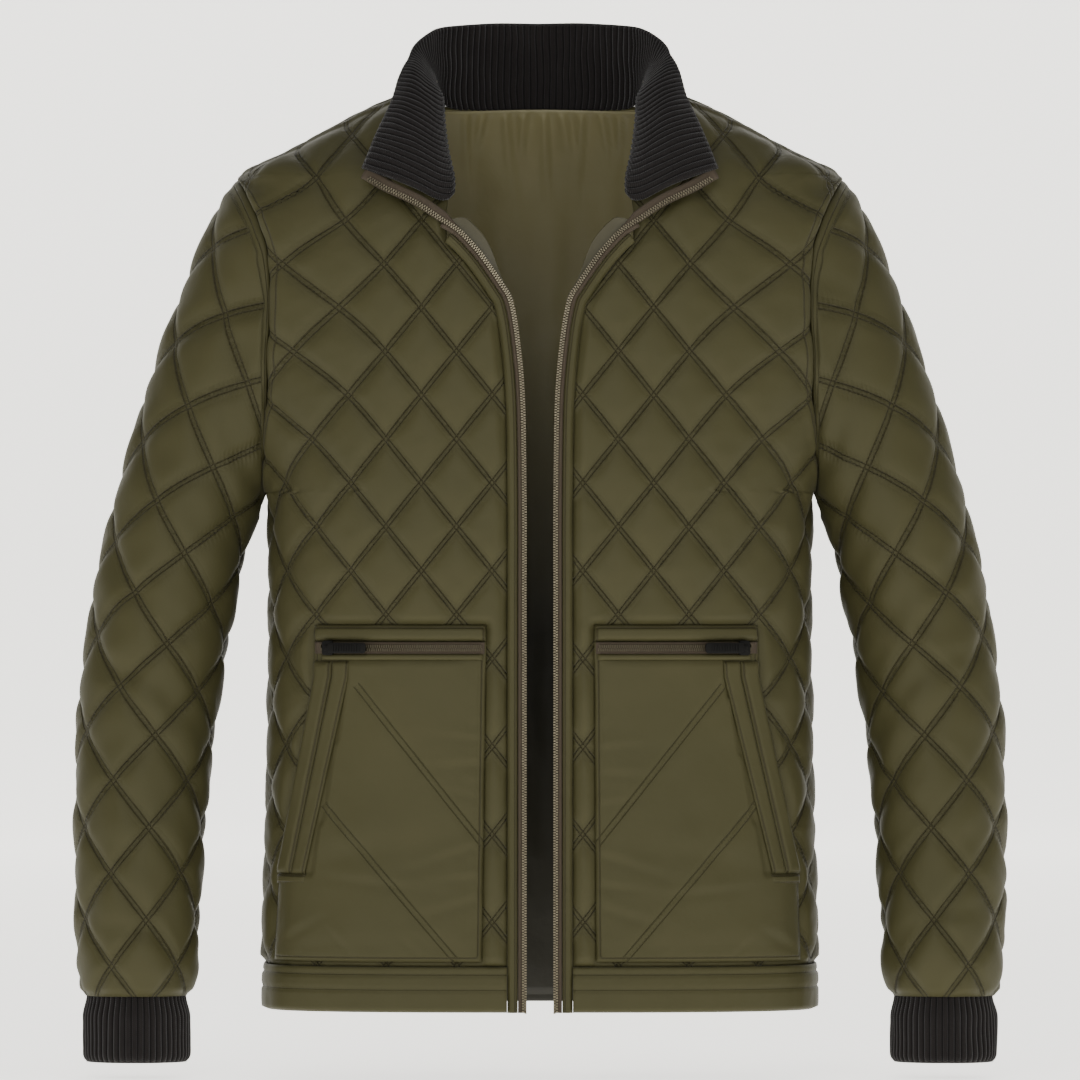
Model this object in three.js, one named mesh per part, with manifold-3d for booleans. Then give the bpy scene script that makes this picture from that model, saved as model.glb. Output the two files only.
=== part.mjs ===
// A men's quilted jacket with a ribbed stand collar, filled out with no wearer and open down the front.
// Millimetres, +Z up. The origin is the middle of the neck, level with the back neck seam, where the
// wearer's neck and shoulders hold it. The front faces -Y and the wearer's left is +X.

import * as THREE from 'three';
import { mergeVertices } from 'three/addons/utils/BufferGeometryUtils.js';
import Module from 'manifold-3d';

const wasm = await Module();
wasm.setup();

// Cloth and seams
const SEAM_GAP = 0.3;
const GROOVE = -2; // a stitch line, against the smooth form that the tables give
const PUFF_TOP = 3; // the top of a quilted diamond, against the same form
const INSIDE = -5; // the plain inner face of the quilted wall
const PUFF_SHARE = 0.42; // how far a diamond's raised ridge reaches from its middle, up and down

// The quilting, as half widths and half heights of its diamonds
const HALF_WIDE = 26.5;
const HALF_TALL = 32.75;
const FRONT_COLUMNS = 10;
const FRONT_FIRST_COLUMN = 5.5; // from the middle of the body to the first column of crossings
const SIDE_STRETCH = 0.77; // how much narrower than its arc a diamond counts where the side turns away

// Body sections: the half width is left to the armhole where the sleeve's form sets it
const BODY = [
  { z: -700, side: 209, depth: 118, power: 3.0 },
  { z: -640, side: 208, depth: 119, power: 3.0 },
  { z: -560, side: 205.5, depth: 120, power: 3.0 },
  { z: -470, side: 203.5, depth: 121, power: 3.0 },
  { z: -390, side: 202.5, depth: 123, power: 2.95 },
  { z: -310, side: 203, depth: 125, power: 2.9 },
  { z: -292, side: 204.5, depth: 125, power: 2.9 },
  { z: -210, side: 209, depth: 123, power: 2.85 },
  { z: -150, side: 211, depth: 119, power: 2.8 },
  { z: -110, side: 213, depth: 113, power: 2.75 },
  { z: -80, side: 218, depth: 105, power: 2.7 },
  { z: -54, side: 225, depth: 95, power: 2.55 },
  { z: -36, side: 193, depth: 87, power: 2.35 },
  { z: -20, side: 163, depth: 79, power: 2.2 },
  { z: -3, side: 131, depth: 70, power: 2.1 },
  { z: 5, side: 112, depth: 66, power: 2.0 },
  { z: 18, side: 80, depth: 56, power: 2.0 },
  { z: 40, side: 24, depth: 26, power: 2.0 },
];
const HEM_BOTTOM = -681;
const HEM_TOP = -647;

// The armhole seam, as seen from the front
const ARMHOLE = [
  { z: -292, x: 204.5 },
  { z: -245, x: 204 },
  { z: -213, x: 203 },
  { z: -182, x: 202.5 },
  { z: -152, x: 201 },
  { z: -130, x: 202 },
  { z: -110, x: 204 },
  { z: -88, x: 211 },
  { z: -55, x: 226 },
  { z: -40, x: 234 },
];
const ARMHOLE_TOP = -54;
const ARMHOLE_BOTTOM = -292;

// Sleeve sections, from inside the shoulder to the cuff: outer and inner edge seen from the front,
// half depth from front to back, and how far the arm hangs forward
const SLEEVE = [
  { outX: 206, outZ: -42, inX: 112, inZ: -120, depth: 56, forward: 0 },
  { outX: 227, outZ: -55, inX: 126, inZ: -137, depth: 60, forward: 0 },
  { outX: 240, outZ: -74, inX: 136, inZ: -156, depth: 62, forward: 0 },
  { outX: 260, outZ: -118, inX: 152, inZ: -194, depth: 63, forward: 0 },
  { outX: 283, outZ: -178, inX: 178, inZ: -236, depth: 63, forward: 0 },
  { outX: 303, outZ: -240, inX: 199, inZ: -281, depth: 62, forward: 1 },
  { outX: 321, outZ: -304, inX: 219, inZ: -324, depth: 61, forward: 3 },
  { outX: 335, outZ: -364, inX: 232, inZ: -380, depth: 60, forward: 5 },
  { outX: 343, outZ: -419, inX: 240, inZ: -428, depth: 59, forward: 8 },
  { outX: 348, outZ: -465, inX: 246, inZ: -470, depth: 58, forward: 11 },
  { outX: 349.5, outZ: -534, inX: 253, inZ: -535, depth: 56, forward: 16 },
  { outX: 349, outZ: -592, inX: 257, inZ: -592, depth: 53, forward: 20 },
  { outX: 347, outZ: -648, inX: 260, inZ: -648, depth: 49, forward: 23 },
  { outX: 344, outZ: -672, inX: 264, inZ: -672, depth: 42, forward: 24 },
];
const SLEEVE_COLUMNS = 10; // columns of crossings round the tube
const SLEEVE_FIRST_ANGLE = 65; // of one column, from the outer edge towards the front
const SLEEVE_HALF_TALL = 34.8;

// The neck seam seen from the front: on the back, over the shoulder line and down the front
const NECK_BACK = [
  { x: 0, z: 0 },
  { x: 40, z: 0.5 },
  { x: 66, z: 3 },
  { x: 76, z: 10 },
];
const NECK_SIDE = { x: 80, z: 18 };
const NECK_FRONT = [
  { x: 78, z: 12 },
  { x: 73, z: 2 },
  { x: 72, z: -15 },
  { x: 69, z: -38 },
  { x: 64, z: -62 },
  { x: 67, z: -81 },
];
// The collar's free edge, from the middle of the back to the fallen front end
const COLLAR_EDGE = [
  { x: 0, y: 70, z: 64.5 },
  { x: 35, y: 67, z: 64.5 },
  { x: 64, y: 52, z: 62 },
  { x: 80, y: 30, z: 58 },
  { x: 92, y: 5, z: 49 },
  { x: 99, y: -22, z: 36 },
  { x: 106, y: -50, z: 16 },
  { x: 114, y: -74, z: -4 },
  { x: 124, y: -92, z: -29 },
  { x: 133, y: -106, z: -51 },
];
const COLLAR_RIBS = 115;
const COLLAR_HALF_WALL = 1.3; // in a rib's valley
const RIB_RISE = 1;
const COLLAR_ROLL = 20; // how far the front of the collar bows forward as it falls open

// The front edge, where the zip's teeth end, from the collar's tip to the hem
const FRONT_EDGE = [
  { x: 132.5, z: -54, y: -107 },
  { x: 115.5, z: -64, y: -112 },
  { x: 92.5, z: -75, y: -114 },
  { x: 74, z: -87, y: -115 },
  { x: 60, z: -96, y: -114 },
  { x: 49, z: -107, y: -114 },
  { x: 40, z: -118, y: -115 },
  { x: 27, z: -137, y: -117.5 },
  { x: 20, z: -150, y: -118.5 },
  { x: 15, z: -178, y: -121 },
  { x: 11, z: -224, y: -123.5 },
  { x: 9.8, z: -300, y: -125 },
  { x: 9.8, z: -374, y: -123.5 },
  { x: 9.8, z: -470, y: -121 },
  { x: 9.8, z: -560, y: -120 },
  { x: 9.8, z: -640, y: -119 },
  { x: 9.8, z: -681, y: -118 },
];
const EDGE_ROWS_ON_COLLAR = 3.8; // spans of the front edge that run along the collar's end
const TEETH_WIDE = 3.9;
const TAPE_WIDE = 2.4;
const PLACKET_WIDE = 7.6;

// The patch pockets, as seen from the front; each side has its own place
const POCKETS = {
  right: { side: -1, topInner: 40, topOuter: 169, cornerOuter: 169, wideOuter: 196, lowOuter: 200, lowInner: 43.5 },
  left: { side: 1, topInner: 40.5, topOuter: 163, cornerOuter: 163.5, wideOuter: 194, lowOuter: 196, lowInner: 42 },
};
const POCKET_TOP = -392;
const BAND_BOTTOM = -404;
const POCKET_CORNER = -430;
const POCKET_WIDE_AT = -575;
const POCKET_BOTTOM = -643;
const POCKET_LOW = -1;
const POCKET_HIGH = 1;
const TEETH_TOP = -406.5;
const TEETH_BOTTOM = -411.5;
const LIP_TOP = -413.5;
const LIP_BOTTOM = -418;
const WELT_TOP = -419;
const WELT_BOTTOM = -578;
const WELT_AT_TOP = { outer: 0.5, middle: 14, inner: 27 }; // inwards from the pocket's outer edge
const WELT_AT_BOTTOM = { outer: 0.5, middle: 11, inner: 21 };
const SLIDER = { wide: 9, tall: 11, thick: 3.4 };
const PULL = { long: 31, tall: 8, thick: 2, clear: 0.6, overlap: 3 };

// Cuffs
const CUFF_TOP = -672.5;
const CUFF_BOTTOM = -721;
const CUFF_RIBS = 52;
const CUFF_WALL = 2.4;

const MATERIALS = {
  olive: new THREE.MeshStandardMaterial({ color: 0x45422b, roughness: 0.55, metalness: 0 }),
  lining: new THREE.MeshStandardMaterial({ color: 0x55513a, roughness: 0.4, metalness: 0 }),
  rib: new THREE.MeshStandardMaterial({ color: 0x2c2828, roughness: 0.9, metalness: 0 }),
  tape: new THREE.MeshStandardMaterial({ color: 0x3c3023, roughness: 0.8, metalness: 0 }),
  teeth: new THREE.MeshStandardMaterial({ color: 0x8a8270, roughness: 0.35, metalness: 0.9 }),
  black: new THREE.MeshStandardMaterial({ color: 0x19191b, roughness: 0.5, metalness: 0 }),
};

const lerp = THREE.MathUtils.lerp;
const clamp = THREE.MathUtils.clamp;
const jacket = new THREE.Group();

// Reads a column of a table between its rows along a smooth curve with no overshoot.
function read(rows, key, at, column) {
  const ordered = rows[0][key] < rows[rows.length - 1][key] ? rows : [...rows].reverse();
  const last = ordered.length - 1;
  const place = clamp(at, ordered[0][key], ordered[last][key]);
  let i = 0;
  while (i < last - 1 && ordered[i + 1][key] < place) i += 1;
  const slope = (k) => {
    const row = ordered[clamp(k, 0, last - 1)];
    const next = ordered[clamp(k, 0, last - 1) + 1];
    return (next[column] - row[column]) / (next[key] - row[key]);
  };
  const bend = (k) => {
    const before = slope(k - 1);
    const after = slope(k);
    return before * after <= 0 ? 0 : (2 * before * after) / (before + after);
  };
  const span = ordered[i + 1][key] - ordered[i][key];
  const t = (place - ordered[i][key]) / span;
  const a = ordered[i][column];
  const b = ordered[i + 1][column];
  return a * (1 + 2 * t) * (1 - t) ** 2 + b * t * t * (3 - 2 * t)
    + span * (bend(i) * t * (1 - t) ** 2 - bend(i + 1) * t * t * (1 - t));
}

// The sleeve's sections with the distance run along the middle of the tube
const sleeveRows = [];
for (const row of SLEEVE) {
  const middle = new THREE.Vector2((row.outX + row.inX) / 2, (row.outZ + row.inZ) / 2);
  const before = sleeveRows[sleeveRows.length - 1];
  const run = before ? before.run + middle.distanceTo(before.middle) : 0;
  sleeveRows.push({ ...row, middle, run });
}
const SLEEVE_LENGTH = sleeveRows[sleeveRows.length - 1].run;

function sleeveSection(run) {
  const value = (column) => read(sleeveRows, 'run', run, column);
  return {
    out: new THREE.Vector2(value('outX'), value('outZ')),
    inner: new THREE.Vector2(value('inX'), value('inZ')),
    depth: value('depth'),
    forward: value('forward'),
  };
}

// Half the front-to-back size of the sleeve where it meets the armhole seam at this height
function armholeHalfDepth(z) {
  const point = new THREE.Vector2(read(ARMHOLE, 'z', z, 'x'), z);
  let low = 0;
  let high = SLEEVE_LENGTH;
  for (let k = 0; k < 30; k += 1) {
    const run = (low + high) / 2;
    const { out, inner } = sleeveSection(run);
    const across = inner.clone().sub(out);
    if (across.cross(point.clone().sub(out)) > 0) high = run;
    else low = run;
  }
  const { out, inner, depth } = sleeveSection(low);
  const share = point.distanceTo(out) / out.distanceTo(inner);
  const cosine = clamp(1 - 2 * share, -1, 1);
  return depth * Math.sqrt(1 - cosine * cosine);
}

const sectionCache = new Map();

// Half width, half depth and roundness of the body's horizontal section
function bodySection(z) {
  if (sectionCache.has(z)) return sectionCache.get(z);
  const depth = read(BODY, 'z', z, 'depth');
  const power = read(BODY, 'z', z, 'power');
  let side = read(BODY, 'z', z, 'side');
  if (z > ARMHOLE_BOTTOM && z < ARMHOLE_TOP) {
    const share = clamp(armholeHalfDepth(z) / depth, 0, 0.8);
    side = read(ARMHOLE, 'z', z, 'x') / (1 - share ** power) ** (1 / power);
  }
  const section = { side, depth, power };
  sectionCache.set(z, section);
  return section;
}

// How far a point is inside or outside the body's form, for its normals
function bodyField(x, y, z) {
  const { side, depth, power } = bodySection(z);
  return (Math.abs(x) / side) ** power + (Math.abs(y) / depth) ** power;
}

function bodyNormal(point) {
  const { x, y, z } = point;
  const step = 1;
  return new THREE.Vector3(
    bodyField(x + step, y, z) - bodyField(x - step, y, z),
    bodyField(x, y + step, z) - bodyField(x, y - step, z),
    bodyField(x, y, z + step) - bodyField(x, y, z - step),
  ).normalize();
}

// A point of the body seen at x, z from the front; facing is -1 for the front and 1 for the back
function onBody(x, z, facing, lift) {
  const { side, depth, power } = bodySection(z);
  const share = clamp(Math.abs(x) / side, 0, 1);
  const point = new THREE.Vector3(x, facing * depth * (1 - share ** power) ** (1 / power), z);
  return point.addScaledVector(bodyNormal(point), lift);
}

const ringCache = new Map();

// The right half of a section as points, with how far each lies from the middle in quilting widths
function ring(z) {
  if (ringCache.has(z)) return ringCache.get(z);
  const { side, depth, power } = bodySection(z);
  const steps = 160;
  const points = [];
  let across = 0;
  for (let k = 0; k <= steps; k += 1) {
    const angle = (Math.PI * k) / steps;
    const sine = Math.sin(angle);
    const cosine = Math.cos(angle);
    const x = side * Math.max(sine, 0) ** (2 / power);
    const y = -depth * Math.sign(cosine) * Math.abs(cosine) ** (2 / power);
    if (k > 0) {
      const before = points[k - 1];
      const arc = Math.hypot(x - before.x, y - before.y);
      across += Math.max(Math.abs(x - before.x), arc * SIDE_STRETCH);
    }
    points.push({ x, y, across });
  }
  const half = points[steps / 2].across;
  ringCache.set(z, { points, half });
  return ringCache.get(z);
}

// The height at which the shoulder line is this far across from the middle
function shoulderHeight(across) {
  let low = ARMHOLE_TOP;
  let high = BODY[BODY.length - 1].z;
  for (let k = 0; k < 20; k += 1) {
    const z = (low + high) / 2;
    if (ring(z).half > across) low = z;
    else high = z;
  }
  return low;
}

// A point of the body at a distance across from its middle, just past the side and shoulder seams too
const PAST_SEAM = 4;
const PAST_STEP = 0.08;
function roundBody(across, z, facing, lift) {
  const size = Math.abs(across);
  const height = Math.min(z, z > ARMHOLE_TOP ? shoulderHeight(size) : z);
  const { points, half } = ring(height);
  const past = Math.max(0, size - half - PAST_SEAM);
  const over = height < z ? PAST_SEAM / 2 + (z - height) * PAST_STEP : 0;
  const reach = Math.min(size, half + PAST_SEAM) + past * PAST_STEP + over;
  const i = clamp(points.findIndex((p) => p.across >= reach), 1, points.length - 1);
  const t = (reach - points[i - 1].across) / (points[i].across - points[i - 1].across);
  const x = lerp(points[i - 1].x, points[i].x, t) * Math.sign(across || 1);
  const y = lerp(points[i - 1].y, points[i].y, t) * -facing;
  const point = new THREE.Vector3(x, y, height);
  return point.addScaledVector(bodyNormal(point), lift);
}

// The height of a row of the quilting, counted from the hem; the rows close up under the collar
const BODY_ROWS = 24;
const TOP_ROWS = [-56.5, -23.75, 9, 32, 40];
function rowHeight(row) {
  const level = row - (BODY_ROWS - TOP_ROWS.length + 1);
  if (level < 0) return TOP_ROWS[0] + level * HALF_TALL;
  const k = Math.min(Math.floor(level), TOP_ROWS.length - 2);
  return lerp(TOP_ROWS[k], TOP_ROWS[k + 1], level - k);
}

// A closed solid from points and triangles, turned right side out
function closed(points, triangles) {
  let volume = 0;
  for (const [a, b, c] of triangles) {
    volume += points[a].dot(points[b].clone().cross(points[c]));
  }
  const vertProperties = new Float32Array(points.flatMap((p) => [p.x, p.y, p.z]));
  const turned = volume < 0 ? triangles.map(([a, b, c]) => [a, c, b]) : triangles;
  const triVerts = new Uint32Array(turned.flat());
  return new wasm.Manifold(new wasm.Mesh({ numProp: 3, vertProperties, triVerts }));
}

function fromGeometry(geometry) {
  geometry.deleteAttribute('normal');
  geometry.deleteAttribute('uv');
  const merged = mergeVertices(geometry, 1e-4);
  const vertProperties = new Float32Array(merged.attributes.position.array);
  const triVerts = new Uint32Array(merged.index.array);
  return new wasm.Manifold(new wasm.Mesh({ numProp: 3, vertProperties, triVerts }));
}

// A straight prism through the whole jacket from front to back, from an outline of x, z pairs
function prism(outline, side = 1) {
  const shape = new THREE.Shape(outline.map(({ x, z }) => new THREE.Vector2(x * side, z)));
  const geometry = new THREE.ExtrudeGeometry(shape, { depth: 400, bevelEnabled: false });
  geometry.rotateX(Math.PI / 2);
  geometry.translate(0, 200, 0);
  return fromGeometry(geometry);
}

function add(name, solid, material) {
  const pieces = solid.decompose();
  const body = pieces.reduce((best, piece) => (piece.volume() > best.volume() ? piece : best));
  const mesh = body.getMesh();
  const geometry = new THREE.BufferGeometry();
  geometry.setAttribute('position', new THREE.BufferAttribute(new Float32Array(mesh.vertProperties), 3));
  geometry.setIndex(new THREE.BufferAttribute(new Uint32Array(mesh.triVerts), 1));
  geometry.computeVertexNormals();
  const part = new THREE.Mesh(geometry, material);
  part.name = name;
  jacket.add(part);
}

// A wall with a quilted outer face and a plain inner one, over columns and rows of crossings.
// place(column, row, lift) gives a point; a closed sheet joins its last column to its first.
function quilted(columns, rows, firstCrossing, joined, place) {
  const points = [];
  const triangles = [];
  const known = new Map();
  const wrap = (i) => (joined ? ((i % columns) + columns) % columns : i);
  const corner = (i, j, lift) => {
    const name = `${wrap(i)},${j},${lift}`;
    if (!known.has(name)) {
      known.set(name, points.length);
      points.push(place(wrap(i), j, lift));
    }
    return known.get(name);
  };
  const raised = (i, j) => {
    points.push(place(i, j, PUFF_TOP));
    return points.length - 1;
  };
  const isCrossing = (i, j) => (i + j + firstCrossing) % 2 === 0;
  const lastColumn = joined ? columns - 1 : columns;
  for (let j = 0; j <= rows; j += 1) {
    for (let i = 0; i <= lastColumn; i += 1) {
      if (isCrossing(i, j)) continue;
      const west = (joined || i > 0) && corner(i - 1, j, GROOVE);
      const east = (joined || i < columns) && corner(i + 1, j, GROOVE);
      const below = j > 0 && corner(i, j - 1, GROOVE);
      const above = j < rows && corner(i, j + 1, GROOVE);
      const sides = [west, below, east, above];
      if (sides.includes(false)) {
        if (below === false) triangles.push([west, east, above]);
        else if (above === false) triangles.push([below, east, west]);
        else if (west === false) triangles.push([below, east, above]);
        else triangles.push([west, below, above]);
        continue;
      }
      const low = raised(i, j - PUFF_SHARE);
      const high = raised(i, j + PUFF_SHARE);
      triangles.push([west, below, low], [below, east, low], [east, above, high], [above, west, high]);
      triangles.push([west, low, high], [east, high, low]);
    }
  }
  for (let j = 0; j < rows; j += 2) {
    for (let i = 0; i < columns; i += 1) {
      const quad = [
        corner(i, j, INSIDE), corner(i + 1, j, INSIDE), corner(i + 1, j + 2, INSIDE), corner(i, j + 2, INSIDE),
      ];
      triangles.push([quad[0], quad[2], quad[1]], [quad[0], quad[3], quad[2]]);
    }
  }
  // The rims join the crossings of the outer face to the inner one
  for (const j of [0, rows]) {
    const first = isCrossing(0, j) ? 0 : -1;
    for (let i = first; i < lastColumn; i += 2) {
      const outer = [corner(i, j, GROOVE), corner(i + 2, j, GROOVE)];
      const inner = [corner(i, j, INSIDE), corner(i + 1, j, INSIDE), corner(i + 2, j, INSIDE)];
      const rim = [[outer[0], inner[0], inner[1]], [outer[0], inner[1], outer[1]], [outer[1], inner[1], inner[2]]];
      for (const [a, b, c] of rim) triangles.push(j === 0 ? [a, b, c] : [a, c, b]);
    }
  }
  if (!joined) {
    for (const i of [0, columns]) {
      for (let j = 0; j < rows; j += 2) {
        const low = [corner(i, j, GROOVE), corner(i, j, INSIDE)];
        const high = [corner(i, j + 2, GROOVE), corner(i, j + 2, INSIDE)];
        const rim = [[low[0], high[0], high[1]], [low[0], high[1], low[1]]];
        for (const [a, b, c] of rim) triangles.push(i === 0 ? [a, b, c] : [a, c, b]);
      }
    }
  }
  return closed(points, triangles);
}

// A closed wall between two faces over the same grid; grids are rows of points
function wall(outer, inner) {
  const rows = outer.length;
  const columns = outer[0].length;
  const points = [...outer.flat(), ...inner.flat()];
  const at = (face, i, j) => face * rows * columns + j * columns + i;
  const triangles = [];
  const quad = (a, b, c, d) => triangles.push([a, b, c], [a, c, d]);
  for (let j = 0; j < rows - 1; j += 1) {
    for (let i = 0; i < columns - 1; i += 1) {
      quad(at(0, i, j), at(0, i + 1, j), at(0, i + 1, j + 1), at(0, i, j + 1));
      quad(at(1, i, j), at(1, i, j + 1), at(1, i + 1, j + 1), at(1, i + 1, j));
    }
  }
  for (let i = 0; i < columns - 1; i += 1) {
    quad(at(0, i, 0), at(1, i, 0), at(1, i + 1, 0), at(0, i + 1, 0));
    quad(at(0, i, rows - 1), at(0, i + 1, rows - 1), at(1, i + 1, rows - 1), at(1, i, rows - 1));
  }
  for (let j = 0; j < rows - 1; j += 1) {
    quad(at(0, 0, j), at(0, 0, j + 1), at(1, 0, j + 1), at(1, 0, j));
    quad(at(0, columns - 1, j), at(1, columns - 1, j), at(1, columns - 1, j + 1), at(0, columns - 1, j + 1));
  }
  return closed(points, triangles);
}

const steps = (count) => Array.from({ length: count + 1 }, (_, k) => k / count);
const mirrored = (points, side) => points.map((p) => ({ ...p, x: p.x * side }));

// The neck seam on the body's form, and the collar between it and its free edge
function neckSeam() {
  const back = NECK_BACK.map(({ x, z }) => onBody(x, z, 1, 0));
  const side = new THREE.Vector3(NECK_SIDE.x, 0, NECK_SIDE.z);
  const front = NECK_FRONT.map(({ x, z }) => onBody(x, z, -1, 0));
  return new THREE.CatmullRomCurve3([...back, side, ...front]);
}
const seamCurve = neckSeam();
const freeCurve = new THREE.CatmullRomCurve3(COLLAR_EDGE.map(({ x, y, z }) => new THREE.Vector3(x, y, z)));

// A point of the collar: round from -1 to 1 over the back, up from the seam to the free edge
function onCollar(round, up, lift) {
  const place = Math.abs(round);
  const flip = round < 0 ? -1 : 1;
  const middle = (at, rise) => {
    const seam = seamCurve.getPointAt(clamp(at, 0, 1));
    const edge = freeCurve.getPointAt(clamp(at, 0, 1));
    const bow = seam.clone().lerp(edge, 0.5);
    bow.addScaledVector(bodyNormal(seam), COLLAR_ROLL * THREE.MathUtils.smoothstep(at, 0.3, 0.85));
    const point = seam.multiplyScalar((1 - rise) ** 2);
    return point.addScaledVector(bow, 2 * rise * (1 - rise)).addScaledVector(edge, rise * rise);
  };
  const point = middle(place, up);
  const along = middle(place + 0.01, up).sub(middle(Math.max(place - 0.01, 0), up));
  const rise = middle(place, Math.min(up + 0.02, 1)).sub(middle(place, Math.max(up - 0.02, 0)));
  const inward = rise.cross(along).normalize();
  point.addScaledVector(inward, lift);
  point.x *= flip;
  return point;
}

const COLLAR_START = 0.012; // just above the neck seam, as a share of the collar's height
function collarWall(columns, rows, lifts, start = COLLAR_START) {
  const grid = (face) => steps(rows).map((up) => steps(columns).map((share, k) => (
    onCollar(share * 2 - 1, lerp(start, 1, up), lifts(k, face)))));
  return wall(grid(1), grid(-1));
}

function makeCollar() {
  const lift = (k, face) => face * (COLLAR_HALF_WALL + (k % 2 ? RIB_RISE : 0));
  add('collar', collarWall(COLLAR_RIBS * 2, 2, lift), MATERIALS.rib);
}
const COLLAR_ROOM = COLLAR_HALF_WALL + RIB_RISE + SEAM_GAP + 0.8;
const collarRoom = collarWall(58, 4, (k, face) => face * COLLAR_ROOM, -COLLAR_START);

// The front edge as a smooth line, and lines beside it, inwards from the teeth
const edgeLine = new THREE.CatmullRomCurve3(FRONT_EDGE.map(({ x, y, z }) => new THREE.Vector3(x, y, z)));

function edgePoint(at, inset, lift) {
  const point = edgeLine.getPoint(at);
  const along = edgeLine.getTangent(at);
  const away = new THREE.Vector2(-along.z, along.x).normalize();
  return new THREE.Vector3(point.x + away.x * inset, point.y - lift, point.z + away.y * inset);
}

// Places along the front edge, closer together where it curves
const EDGE_SPANS = FRONT_EDGE.length - 1;
const EDGE_CURVED_SPANS = 10;
function edgePlaces(from, to) {
  const places = [];
  for (let k = 0; k <= EDGE_SPANS; k += k < EDGE_CURVED_SPANS ? 0.5 : 1) places.push(k / EDGE_SPANS);
  return [from, ...places.filter((at) => at > from + 0.01 && at < to - 0.01), to];
}

function edgeStrip(from, to, insetFrom, insetTo, low, high) {
  const grid = (lift) => edgePlaces(from, to).map((at) => (
    [edgePoint(at, insetFrom, lift), edgePoint(at, insetTo, lift)]));
  return wall(grid(high), grid(low));
}
const EDGE_END = 1;
const PLACKET_START = EDGE_ROWS_ON_COLLAR / EDGE_SPANS;
const TAPE_INSET = TEETH_WIDE + SEAM_GAP;
const PLACKET_INSET = TAPE_INSET + TAPE_WIDE + SEAM_GAP;
const PANEL_INSET = PLACKET_INSET + PLACKET_WIDE + SEAM_GAP;

// The outline of one front, seen from the front
function frontOutline() {
  const edge = edgePlaces(PLACKET_START, EDGE_END).map((at) => {
    const point = edgePoint(at, PANEL_INSET, 0);
    return { x: point.x, z: point.z };
  });
  const bottom = HEM_TOP + SEAM_GAP;
  const kept = edge.filter((point) => point.z > bottom + 1);
  const neck = [...NECK_FRONT].filter((p) => p.z > kept[0].z + 4);
  const clearOfNeck = neck.map(({ x, z }) => ({ x: x + 4, z }));
  return [
    ...kept, { x: kept[kept.length - 1].x, z: bottom }, { x: 260, z: bottom },
    ...armholeSide(0), { x: 200, z: 60 }, { x: NECK_SIDE.x, z: 60 }, NECK_SIDE, ...clearOfNeck,
  ];
}

function armholeSide(gap) {
  const seam = steps(14).map((share) => {
    const z = lerp(ARMHOLE_BOTTOM, ARMHOLE[ARMHOLE.length - 1].z, share);
    return { x: read(ARMHOLE, 'z', z, 'x') + gap, z };
  });
  return [{ x: 260, z: ARMHOLE_BOTTOM }, ...seam];
}

const NECK_ROOM = 1; // under the collar's edge at the back
function backOutline() {
  const half = [
    { x: 260, z: HEM_TOP + SEAM_GAP }, ...armholeSide(0), { x: 200, z: 60 },
    { x: NECK_SIDE.x, z: 60 }, NECK_SIDE,
    ...[...NECK_BACK].reverse().map(({ x, z }) => ({ x, z: z - NECK_ROOM })),
  ];
  const other = mirrored(half.slice(0, -1), -1).reverse();
  return [...half, ...other];
}

// The space in front of or behind the side and shoulder seams
const SEAM_PLAN = [
  { x: 0, y: -16 },
  { x: 80, y: -16 },
  { x: 194, y: -3 },
  { x: 205, y: 0 },
  { x: 300, y: 0 },
];
function sidePlan(facing) {
  const line = SEAM_PLAN.map(({ x, y }) => new THREE.Vector2(x, y + (facing * SEAM_GAP) / 2));
  const far = 200 * facing;
  const right = [...line];
  const left = line.slice(1).map((p) => new THREE.Vector2(-p.x, p.y)).reverse();
  const shape = new THREE.Shape([...left, ...right, new THREE.Vector2(300, far), new THREE.Vector2(-300, far)]);
  const geometry = new THREE.ExtrudeGeometry(shape, { depth: 850, bevelEnabled: false });
  geometry.translate(0, 0, -750);
  return fromGeometry(geometry);
}
const frontSpace = sidePlan(-1);
const backSpace = sidePlan(1);

// A pocket's outer edge, seen from the front, at a height
function pocketEdge(pocket, z) {
  if (z > POCKET_CORNER) return lerp(pocket.topOuter, pocket.cornerOuter, (POCKET_TOP - z) / (POCKET_TOP - POCKET_CORNER));
  if (z > POCKET_WIDE_AT) {
    return lerp(pocket.cornerOuter, pocket.wideOuter, (POCKET_CORNER - z) / (POCKET_CORNER - POCKET_WIDE_AT));
  }
  return lerp(pocket.wideOuter, pocket.lowOuter, (POCKET_WIDE_AT - z) / (POCKET_WIDE_AT - POCKET_BOTTOM));
}
const pocketInner = (pocket, z) => lerp(pocket.topInner, pocket.lowInner, (POCKET_TOP - z) / (POCKET_TOP - POCKET_BOTTOM));

// A flat piece on the body between two edges given at each of its heights
function patch(pocket, heights, count, edges, low, high) {
  const grid = (lift) => heights.map((z) => steps(count).map((share) => {
    const { inner, outer } = edges(z);
    return onBody(lerp(inner, outer, share) * pocket.side, z, -1, lift);
  }));
  return wall(grid(high), grid(low));
}

const POCKET_LEVELS = [POCKET_CORNER, -478, -527, POCKET_WIDE_AT, -610]; // where a pocket bends with the body
function pocketHeights(top, bottom) {
  const inner = POCKET_LEVELS.filter((z) => z < top - 4 && z > bottom + 4);
  return [top, ...inner, bottom];
}

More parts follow.
